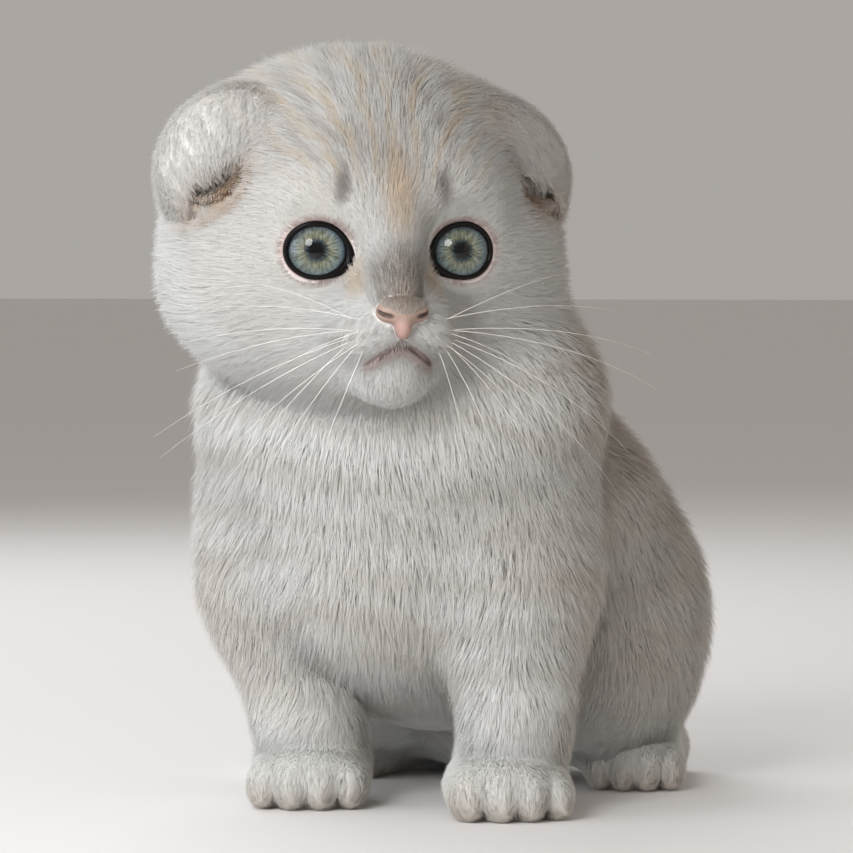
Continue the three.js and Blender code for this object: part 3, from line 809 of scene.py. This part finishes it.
tree.links.new(strands.outputs[0], contrast.inputs[7])
shader = add_node(
    tree,
    "ShaderNodeBsdfPrincipled",
    links={"Base Color": contrast.outputs[2]},
    Roughness=0.6,
    Specular_IOR_Level=0,
)
show(tree, shader)

# Cornea: clear and wet. It mirrors the window by Fresnel and lets the rest through unbent.
cornea_material, tree = new_material("wet_cornea")
fresnel = add_node(tree, "ShaderNodeFresnel", IOR=1.5)
clear = add_node(tree, "ShaderNodeBsdfTransparent")
gloss = add_node(tree, "ShaderNodeBsdfGlossy", Roughness=0.03)
side_seen = add_node(tree, "ShaderNodeNewGeometry")
outside_only = add_node(
    tree,
    "ShaderNodeMath",
    {"operation": "SUBTRACT", "use_clamp": True},
    links={0: fresnel.outputs[0], 1: side_seen.outputs["Backfacing"]},
)
film = add_node(tree, "ShaderNodeMixShader", links={"Fac": outside_only.outputs[0]})
tree.links.new(clear.outputs[0], film.inputs[1])
tree.links.new(gloss.outputs[0], film.inputs[2])
show(tree, film)

# Lid rim: bare black skin with a fine grain, kept wet by tears.
LID_GRAIN = 0.3  # millimetres
rim_material, tree = new_material("wet_lid_rim")
grain = grain_of(tree, LID_GRAIN)
shade = add_node(tree, "ShaderNodeMix", {"data_type": "RGBA"}, links={"Factor": grain})
shade.inputs[6].default_value = (*linear("040404"), 1)
shade.inputs[7].default_value = (*linear("120e0f"), 1)
bump = add_node(tree, "ShaderNodeBump", links={"Height": grain}, Strength=0.3, Distance=0.0001)
shader = add_node(
    tree,
    "ShaderNodeBsdfPrincipled",
    links={"Base Color": shade.outputs[2], "Normal": bump.outputs["Normal"]},
    Roughness=0.28,
    Specular_IOR_Level=0.16,
)
show(tree, shader)
RIM_RADIUS = 0.52
RIM_SIDES = 10


def rim_radii(count):
    """The rim's thickness round one eye. It is greatest at the low corner at the nose."""
    angles = np.linspace(0, 2 * math.pi, count, endpoint=False)
    return RIM_RADIUS + 0.7 * np.maximum(-np.cos(angles - 0.42), 0) ** 6 + 0.1 * np.maximum(np.sin(angles), 0)


def unit(vectors):
    return vectors / np.linalg.norm(vectors, axis=1, keepdims=True)


def tube_round(loop, radii):
    """A closed tube along a loop of points, with its own radius at each."""
    before, following = np.roll(loop, 1, 0), np.roll(loop, -1, 0)
    tangent = unit(following - before)
    outward_from = loop - loop.mean(0)
    side = unit(outward_from - (outward_from * tangent).sum(1, keepdims=True) * tangent)
    other = np.cross(tangent, side)
    angles = np.linspace(0, 2 * math.pi, RIM_SIDES, endpoint=False)
    points = loop[:, None] + radii[:, None, None] * (
        np.cos(angles)[None, :, None] * side[:, None] + np.sin(angles)[None, :, None] * other[:, None]
    )
    n, m = np.meshgrid(np.arange(len(loop)), np.arange(RIM_SIDES), indexing="ij")
    around = [(n, m), (n + 1, m), (n + 1, m + 1), (n, m + 1)]
    faces = [((i % len(loop)) * RIM_SIDES + j % RIM_SIDES).ravel() for i, j in around]
    return points.reshape(-1, 3), np.column_stack(faces)


for side_name, side in (("left", 1), ("right", -1)):
    back = arc(EYE_RADIUS, 0, math.pi, math.asin(LIMBUS_RADIUS / EYE_RADIUS), 28)
    iris = [(LIMBUS_RADIUS * r, LIMBUS_FORWARD + f) for r, f in reversed(IRIS_PROFILE)]
    fine = []
    for (start, height), (stop, next_height) in zip(iris, iris[1:]):
        for t in np.arange(0, 1, 0.2):
            fine.append((start + (stop - start) * t, height + (next_height - height) * t))
    points, faces, plane = lathe([*back, *fine, iris[-1]], side)
    eye_mesh = mesh_from("eyeball_" + side_name, points, faces)
    radius = np.linalg.norm(plane, axis=1)
    facing = ((points - HEAD_AT) @ HEAD_AXES - EYE_AT * np.array([side, 1, 1]))[:, 1] < 0
    radius = np.where(facing, radius, EYE_RADIUS)
    spokes_at = np.column_stack([plane / np.maximum(radius, 1e-6)[:, None], radius])
    layer = eye_mesh.attributes.new("Spokes", "FLOAT_VECTOR", "POINT")
    layer.data.foreach_set("vector", spokes_at.astype(np.float32).ravel())
    outward(eye_mesh)
    eyeball = add_piece("eyeball_" + side_name, eye_mesh, eye_material)
    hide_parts("eye_" + side_name)

    half = math.asin(LIMBUS_RADIUS / CORNEA_RADIUS)
    front = arc(CORNEA_RADIUS, CORNEA_FORWARD, 0, half, 20)
    rear = [(LIMBUS_RADIUS * r, LIMBUS_FORWARD + f + 0.12) for r, f in reversed(IRIS_PROFILE)]
    points, faces, _ = lathe([*front, *rear], side)
    cornea_mesh = mesh_from("cornea_" + side_name, points, faces)
    outward(cornea_mesh)
    add_piece("cornea_" + side_name, cornea_mesh, cornea_material)

    loop = lid_rim(side, 72)
    points, faces = tube_round(loop, rim_radii(len(loop)))
    rim_mesh = mesh_from("lid_rim_" + side_name, points @ HEAD_AXES.T + HEAD_AT, faces)
    outward(rim_mesh)
    add_piece("lid_rim_" + side_name, rim_mesh, rim_material)


# Nose
# Bare pinkish leather with a fine pebbled grain. Two comma-shaped nostrils open to the sides.
NOSTRIL = [(2.0, -45, -17.3, 0.45), (3.0, -43, -16.9, 0.5), (4.6, -41.5, -16, 0.36), (6.2, -40, -15.2, 0.26)]
nostrils = both_sides(limb(NOSTRIL))
nose_leather = blend(
    1.2,
    ball((0, -40.6, -15.6), (4.4, 3.6, 2.7)),
    ball((0, -40.8, -18.3), (1.75, 3, 3.0)),
    both_sides(ball((3.1, -40, -15.9), (2.2, 2.6, 1.9))),
)
nose_form = carve(0.5, nose_leather, nostrils)
NOSE_STEP = 0.3
points, faces = surface_of(nose_form, (-7.5, -46, -23), (7.5, -34, -11), NOSE_STEP)
colours = np.tile(np.array(linear("9c8678")), (len(points), 1))
colours = toward(colours, "a5867d", rise(-points[:, 2], 16.5, 19))
# painted shade: the nostrils and their edges are darkened nearly to black for the depth of the openings
colours = toward(colours, "2c1a18", 1 - rise(nostrils(points), -0.1, 0.32))
nose_mesh = mesh_from("nose_leather", points @ HEAD_AXES.T + HEAD_AT, faces)
add_tint(nose_mesh, colours)
outward(nose_mesh)
PEBBLE = 0.45  # millimetres
nose_material, tree = new_material("nose_leather")
tint = add_node(tree, "ShaderNodeAttribute", {"attribute_name": "Tint"})
place = add_node(tree, "ShaderNodeTexCoord").outputs["Object"]
pebbles = add_node(tree, "ShaderNodeTexVoronoi", links={"Vector": place}, Scale=1000 / PEBBLE)
bump = add_node(
    tree,
    "ShaderNodeBump",
    {"invert": True},
    links={"Height": pebbles.outputs["Distance"]},
    Strength=0.35,
    Distance=0.0001,
)
shader = add_node(
    tree,
    "ShaderNodeBsdfPrincipled",
    links={"Base Color": tint.outputs["Color"], "Normal": bump.outputs["Normal"]},
    Roughness=0.55,
    Subsurface_Weight=0.1,
    Subsurface_Radius=(0.001, 0.0004, 0.0002),
)
show(tree, shader)
nose = add_piece("nose_leather", nose_mesh, nose_material)
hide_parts("nose")


# Coat
# Short plush fur in fine tapering tufts. Each is rooted in the skin, leans with the lie of the
# coat and ends at the outline, so that the tufts overlap like thatch.
def lie_of_coat(points, normals):
    """The way the hair points, along the skin: away from the nose on the head, down on the body."""
    head = to_head(points)
    from_nose = (head - np.array([0, -34, -15], np.float32)) @ HEAD_AXES.T
    down = np.tile(np.array([0, 0.4, -1], np.float32), (len(points), 1))
    down += np.column_stack([ripple(points, 30, 18), ripple(points, 26, 12), 0 * points[:, 0]]) * 0.12
    down[:, 1] -= 1.1 * (1 - rise(points[:, 2], 12, 34))
    body = body_form(points)
    on_head = rise(body - head_form(head), -7, 5)[:, None]
    behind = rise(head[:, 1], -12, 14)[:, None]
    from_nose = unit(from_nose) * (1 - behind) + down * 1.2 * behind
    on_bridge = (1 - rise(np.linalg.norm((head - [0, -38, -9.5]) / [7, 8, 7.5], axis=1), 0.7, 1.4))[:, None]
    from_nose += (np.array([0, 0.5, 1], np.float32) @ HEAD_AXES.T - from_nose) * on_bridge
    # Round the eyes the hair turns away from them
    from_eye = (head - np.sign(head[:, :1]) * (EYE_AT * [1, 0, 0]) - EYE_AT * [0, 1, 1]) @ HEAD_AXES.T
    from_lids = near(*EYES_BOX, both_sides(closed_limb(lid_rim(1, 16), 0.0)))(head)
    by_eye = 0.8 * (1 - rise(from_lids, 0.8, 5))[:, None]
    from_nose = unit(from_nose)
    from_nose += (unit(from_eye) - from_nose) * by_eye
    # On the flaps and under them it lies from the fold to the free edge
    for side_name, (at, axes) in EAR_FRAMES.items():
        mirror = np.array([1 if side_name == "left" else -1, 1, 1], np.float32)
        local = (head * mirror - at) @ axes
        away = np.linalg.norm(local / [16, 14, 11], axis=1)[:, None]
        sideways = np.array([1, 0.1, 0.15], np.float32) * mirror @ HEAD_AXES.T
        over_edge = (axes @ np.array([0, 1, 0.4], np.float32)) * mirror @ HEAD_AXES.T
        from_nose += (sideways - from_nose) * (1 - rise(away, 1.1, 2.1))
        from_nose += (over_edge - from_nose) * (1 - rise(away, 0.75, 1.2))
    way = from_nose * on_head + down * (1 - on_head)
    for name, (at, turn, form) in PAWS.items():
        forward = turned(turn) @ np.array([0, -0.7, -0.75], np.float32)
        share = (1 - rise(paw_forms[name](points), -1, 5))[:, None]
        way = way * (1 - share) + forward * share
    on_tail = rise(body - tail_form(points), -1, 3)[:, None]
    knots = np.array(TAIL, np.float32)[:, :3]
    nearest = np.argmin(np.linalg.norm(points[:, None] - (knots[1:] + knots[:-1]) / 2, axis=2), axis=1)
    along = np.diff(knots, axis=0)[nearest]
    way = way * (1 - on_tail) + unit(along) * on_tail
    way -= (way * normals).sum(1, keepdims=True) * normals
    return way / np.maximum(np.linalg.norm(way, axis=1, keepdims=True), 1e-6)


def slope_of(form, points, reach):
    """The direction in which a form's distance grows, at each point."""
    steps = np.eye(3, dtype=np.float32) * reach
    return np.stack([(form(points + s) - form(points - s)) / (2 * reach) for s in steps], axis=1)


def scatter(mesh, density_of):
    """Points spread over a mesh, with density_of(points) of them to a square millimetre."""
    mesh.calc_loop_triangles()
    corners = np.empty(len(mesh.loop_triangles) * 3, np.int32)
    mesh.loop_triangles.foreach_get("vertices", corners)
    places = points_of(mesh)[corners.reshape(-1, 3)]
    areas = np.linalg.norm(np.cross(places[:, 1] - places[:, 0], places[:, 2] - places[:, 0]), axis=1) / 2
    wanted = areas * density_of(places.mean(1))
    counts = random.poisson(wanted)
    chosen = np.repeat(places, counts, axis=0)
    a, b = random.random((2, len(chosen), 1))
    flip = a + b > 1
    a, b = np.where(flip, 1 - a, a), np.where(flip, 1 - b, b)
    first, second, third = chosen[:, 0], chosen[:, 1], chosen[:, 2]
    return (first + (second - first) * a + (third - first) * b).astype(np.float32)


TUFT_RISE = np.array([0, 0.68, 1.0], np.float32)  # height at each station, as a share
TUFT_ALONG = np.array([0, 0.42, 1.0], np.float32)
TUFT_FACES = np.array([(0, 1, 3), (0, 3, 2), (2, 3, 4)])
ROOT_SHADE = np.array([0.98, 0.98, 1.0, 1.0, 1.03])


def grow(name, roots, normals, way, depths, lengths, widths, hold, form, unwrap):
    """One mesh of tufts whose tips reach a form. Each follows the form by no more than hold."""
    count = len(roots)
    reach = np.sqrt(np.maximum(lengths**2 - depths**2, 0.2))
    across = np.cross(way, normals)
    drift = random.normal(0, 0.13, (count, 1)) + 0.12 * ripple(roots, 7, 2)[:, None]
    way = unit(way + across * drift)
    across = np.cross(way, normals)
    roll = random.normal(0, 0.28, (count, 1))
    flat = across * np.cos(roll) + normals * np.sin(roll)
    tip_share = 1 + random.normal(0, 0.09, count) + 0.05 * ripple(roots, 6, 8)
    stations = []
    for height, along in zip(TUFT_RISE, TUFT_ALONG):
        place = roots + way * (reach * along)[:, None] + normals * (depths * height * tip_share)[:, None]
        if height > 0:
            wanted = -depths * (1 - height * tip_share)
            place += normals * np.clip(wanted - form(place), -hold, hold)[:, None]
        stations.append(place)
    half = flat * (widths / 2)[:, None]
    low, middle, tip = stations
    corners = [low - half, low + half, middle - half * 0.8, middle + half * 0.8, tip]
    points = np.stack(corners, axis=1)
    points[..., 2] = np.maximum(points[..., 2], 0.12)
    faces = (np.arange(count)[:, None, None] * 5 + TUFT_FACES).reshape(-1, 3)
    mesh = mesh_from(name, points.reshape(-1, 3), faces)
    strand = 1 + random.normal(0, 1, (count, 1, 1)) * (0.05 + 0.3 * flecked(roots))[:, None, None]
    colours = coat_colour(roots)[:, None] * strand * ROOT_SHADE[None, :, None]
    add_tint(mesh, np.clip(colours, 0.02, 0.95).reshape(-1, 3))
    mesh.normals_split_custom_set_from_vertices(np.repeat(unit(normals + way * 0.2), 5, axis=0))
    add_bake_map(mesh, unwrap(roots))
    add_piece(name, mesh, coat_material)


PATCH = 0.003  # the width of one tuft's place on the map
PATCH_CORNERS = np.array([(0, 0), (1, 0), (0.1, 0.5), (0.9, 0.5), (0.5, 1)]) * PATCH


def add_bake_map(mesh, places):
    """Gives every tuft its own small patch at its root's place on the unwrapped skin."""
    layer = mesh.uv_layers.new(name="OFBake")
    corner_uv = (places[:, None] * (1 - 2 * PATCH) + PATCH_CORNERS).reshape(-1, 2)
    loops = np.empty(len(mesh.loops), np.int32)
    mesh.loops.foreach_get("vertex_index", loops)
    layer.data.foreach_set("uv", corner_uv[loops].astype(np.float32).ravel())


def round_axis(centre, low, high):
    """Unwraps round an upright axis: the angle across and the height up."""

    def unwrap(points):
        angle = np.arctan2(points[:, 0] - centre[0], centre[1] - points[:, 1]) / (2 * math.pi) + 0.5
        return np.column_stack([angle, np.clip((points[:, 2] - low) / (high - low), 0, 1)])

    return unwrap


# Plush fur: dull, with a faint sheen, and half of the light passes through the hairs.
coat_material, tree = new_material("plush_fur")
tint = add_node(tree, "ShaderNodeAttribute", {"attribute_name": "Tint"})
shader = add_node(
    tree,
    "ShaderNodeBsdfPrincipled",
    links={"Base Color": tint.outputs["Color"]},
    Roughness=0.75,
    Sheen_Weight=0.2,
    Specular_IOR_Level=0.2,
)
through = add_node(tree, "ShaderNodeBsdfTranslucent", links={"Color": tint.outputs["Color"]})
hair = add_node(tree, "ShaderNodeMixShader", Fac=0.55)
tree.links.new(shader.outputs[0], hair.inputs[1])
tree.links.new(through.outputs[0], hair.inputs[2])
show(tree, hair)
COVER = 9.0  # how many tufts lie over each place


def tuft_sizes(depths):
    lengths = 0.9 + 1.5 * depths
    widths = 0.1 + 0.022 * depths
    return lengths, widths


def density(points):
    lengths, widths = tuft_sizes(coat_depth(points))
    return COVER / (lengths * widths)


roots = scatter(skin_mesh, density)
head_roots = to_head(roots)
rim = [(*point, radius + 0.08) for point, radius in zip(lid_rim(1, 32), rim_radii(32))]
from_lids = near(*EYES_BOX, both_sides(limb(rim + rim[:1])))(head_roots)
bare = np.minimum(from_lids, near(*MOUTH_BOX, mouth_groove)(head_roots) - 0.05)
bare = np.minimum(bare, nose_leather(head_roots) - 0.1)
keep = (bare > 0) & (eye_openings(head_roots) > 0) & (roots[:, 2] > 0.6)
roots = roots[keep]
on_ear = ear_skin(to_head(roots)) < 0.25
normals = unit(slope_of(coat_outline, roots, 0.4))
depths = np.maximum(-coat_outline(roots), 0.4)
way = lie_of_coat(roots, normals)
hold = np.where(on_ear, 0.5, 3)

REGIONS = {
    "head": lambda p: head_form(to_head(p)),
    "tail": tail_form,
    "foreleg_left": blend(1, foreleg_left, paw_forms["forepaw_left"]),
    "foreleg_right": blend(1, foreleg_right, paw_forms["forepaw_right"]),
    "hindleg_left": blend(1, thigh_left, hock_left, paw_forms["hind_foot_left"]),
    "hindleg_right": blend(1, thigh_right, hock_right, paw_forms["hind_foot_right"]),
    "trunk": trunk_form,
}
# Velvet on the upper part of the nose leather hides its edge
velvet = scatter(nose_mesh, lambda p: np.full(len(p), 26.0))
in_head = to_head(velvet)
velvet = velvet[(in_head[:, 2] > -16.5 + 0.09 * in_head[:, 0] ** 2) & (nostrils(in_head) > 0.5)]
velvet_normals = unit(slope_of(lambda points: nose_leather(to_head(points)), velvet, 0.4))
VELVET_DEPTH = 0.35
velvet_facts = (
    velvet,
    velvet_normals,
    np.full(len(velvet), VELVET_DEPTH),
    lie_of_coat(velvet, velvet_normals),
    np.zeros(len(velvet)),
    np.zeros(len(velvet), bool),
)
roots, normals, depths, way, hold, on_ear = (
    np.concatenate(pair) for pair in zip((roots, normals, depths, way, hold, on_ear), velvet_facts)
)


def round_rump(points):
    """Unwraps the tail: from side to side across, and round the rump up."""
    angle = np.arctan2(points[:, 2] - 6, 40 - points[:, 1])
    return np.column_stack([(points[:, 0] + 62) / 80, angle / (2 * math.pi) + 0.5])


UNWRAPS = {
    "head": round_axis(HEAD_AT, 75, 160),
    "tail": round_rump,
    "foreleg_left": round_axis((27, -20), 0, 75),
    "foreleg_right": round_axis((-22, -19), 0, 75),
    "hindleg_left": round_axis((25, 40), 0, 75),
    "hindleg_right": round_axis((-27, 38), 0, 75),
    "trunk": round_axis((MID, 8), 0, 115),
}
region_of = np.argmin([form(roots) for form in REGIONS.values()], axis=0)
TUFTS_PER_PIECE = 64000  # at 3 faces each
for number, region in enumerate(REGIONS):
    members = np.flatnonzero(region_of == number)
    from_middle = [roots[members, axis] - roots[members, axis].mean() for axis in (0, 1)]
    angle = np.arctan2(*from_middle)
    members = members[np.argsort(angle)]
    for part, chosen in enumerate(np.array_split(members, math.ceil(len(members) / TUFTS_PER_PIECE))):
        lengths, widths = tuft_sizes(depths[chosen])
        lengths += 1.2 * on_ear[chosen]
        from_mouth = np.minimum(near(*MOUTH_BOX, mouth_groove)(to_head(roots[chosen])), 20)
        lengths *= 0.45 + 0.55 * rise(from_mouth, 0.4, 4.5)
        lengths = np.maximum(lengths, 1.25 * depths[chosen])
        lengths = lengths * random.uniform(0.8, 1.15, len(chosen))
        widths = widths * random.uniform(0.75, 1.25, len(chosen))
        grow(
            f"coat_{region}_{part + 1}", roots[chosen], normals[chosen], way[chosen], depths[chosen],
            lengths, widths, hold[chosen], coat_outline, UNWRAPS[region],
        )

# Whiskers
# Stiff white hairs, thick at the root and hair-fine at the tip, in four rows on each whisker pad,
# and a few over each eye. Each is a curve turned into a tapering tube.
WHISKER_ROOT = 0.125  # millimetres across at the root
WHISKER_ROWS = [  # height on the pad, then rise in degrees and length of each whisker
    (-17.6, [(26, 27), (11, 36)]),
    (-19.4, [(1, 40), (-8, 43), (-14, 24)]),
    (-21.2, [(-22, 39), (-30, 41), (-38, 30)]),
    (-22.8, [(-45, 34), (-56, 30), (-68, 24)]),
]
BROW_WHISKERS = [((10, 6), (24, 24)), ((12, 6.8), (35, 22)), ((14, 7), (46, 18)), ((11, 7.5), (12, 20))]
WHISKER_POINTS = 14
WHISKER_CLOUD = 4.0  # millimetres, the length of its paler and darker stretches


def whisker_path(root, rise_angle, length, back, sag):
    """A hair from a root in the head's frame: out to the side, swept back, drooping to its tip."""
    angle = math.radians(rise_angle)
    share = np.linspace(0, 1, WHISKER_POINTS)[:, None]
    out = np.array([math.cos(angle), back, math.sin(angle)])
    out /= np.linalg.norm(out)
    bend = np.array([0, 0.16 * length, -sag * length])
    start = np.array([0.25 * math.cos(angle), -0.55, 0.1])
    return root + out * length * share + bend * share**2 + start * length * 0.35 * share * (1 - share)


whisker_paths = []
for side in (1, -1):
    for z, hairs in WHISKER_ROWS:
        for n, (rise_angle, length) in enumerate(hairs):
            root = on_face(5.6 + 1.7 * (len(hairs) - n), z) + np.array([0, 1.5, 0])
            sweep = 0.3 if side == 1 else 0.16
            longer = 1.22 if side == 1 else 0.8 if z > -20 else 1
            path = whisker_path(root, rise_angle + random.normal(0, 2), length * longer, sweep, 0.14)
            whisker_paths.append(path * [side, 1, 1])
    for (x, z), (rise_angle, length) in BROW_WHISKERS:
        path = whisker_path(on_face(x, z) + np.array([0, 1.2, 0]), rise_angle, length, 0.45, 0.12)
        whisker_paths.append(path * [side, 1, 1])
paths = np.concatenate(whisker_paths) @ HEAD_AXES.T + HEAD_AT
steps = np.arange(len(paths)).reshape(-1, WHISKER_POINTS)
path_mesh = bpy.data.meshes.new("whisker_paths")
edges = np.stack([steps[:, :-1], steps[:, 1:]], -1).reshape(-1, 2)
path_mesh.from_pydata(in_metres(paths).tolist(), edges.tolist(), [])

# Whisker: translucent white keratin with a soft gloss along it.
whisker_material, tree = new_material("whisker_keratin")
clouds = grain_of(tree, WHISKER_CLOUD)
shade = add_node(tree, "ShaderNodeMix", {"data_type": "RGBA"}, links={"Factor": clouds})
shade.inputs[6].default_value = (*linear("fbfaf7"), 1)
shade.inputs[7].default_value = (*linear("e6e0d6"), 1)
shader = add_node(tree, "ShaderNodeBsdfPrincipled", links={"Base Color": shade.outputs[2]}, Roughness=0.35)
show(tree, shader)

tree = bpy.data.node_groups.new("tapering_hairs", "GeometryNodeTree")
tree.interface.new_socket("Paths", in_out="INPUT", socket_type="NodeSocketGeometry")
root_socket = tree.interface.new_socket("Root radius", in_out="INPUT", socket_type="NodeSocketFloat")
tip_socket = tree.interface.new_socket("Tip share", in_out="INPUT", socket_type="NodeSocketFloat")
tree.interface.new_socket("Hairs", in_out="OUTPUT", socket_type="NodeSocketGeometry")
given = add_node(tree, "NodeGroupInput")
curves = add_node(tree, "GeometryNodeMeshToCurve", links={"Mesh": given.outputs["Paths"]})
along = add_node(tree, "GeometryNodeSplineParameter")
taper_links = {"Value": along.outputs["Factor"], "To Max": given.outputs["Tip share"]}
taper = add_node(tree, "ShaderNodeMapRange", links=taper_links, To_Min=1)
radius_links = {0: taper.outputs[0], 1: given.outputs["Root radius"]}
radius = add_node(tree, "ShaderNodeMath", {"operation": "MULTIPLY"}, links=radius_links).outputs[0]
sized = add_node(tree, "GeometryNodeSetCurveRadius", links={"Curve": curves.outputs[0], "Radius": radius})
ring = add_node(tree, "GeometryNodeCurvePrimitiveCircle", Resolution=6, Radius=1.0)
tube_links = {"Curve": sized.outputs[0], "Profile Curve": ring.outputs[0], "Scale": radius}
tubes = add_node(tree, "GeometryNodeCurveToMesh", links=tube_links, Fill_Caps=True)
real = add_node(tree, "GeometryNodeRealizeInstances", links={"Geometry": tubes.outputs[0]}).outputs[0]
finished = add_node(tree, "GeometryNodeSetMaterial", links={"Geometry": real}, Material=whisker_material)
add_node(tree, "NodeGroupOutput", links={"Hairs": finished.outputs[0]})

path_object = bpy.data.objects.new("whisker_paths", path_mesh)
bpy.context.scene.collection.objects.link(path_object)
hairs = path_object.modifiers.new("hairs", "NODES")
hairs.node_group = tree
hairs[root_socket.identifier] = WHISKER_ROOT / 2000
hairs[tip_socket.identifier] = 0.2
depsgraph = bpy.context.evaluated_depsgraph_get()
whisker_mesh = bpy.data.meshes.new_from_object(path_object.evaluated_get(depsgraph))
bpy.data.objects.remove(path_object)
whisker_mesh.materials.clear()
outward(whisker_mesh)
add_piece("whiskers", whisker_mesh, whisker_material)
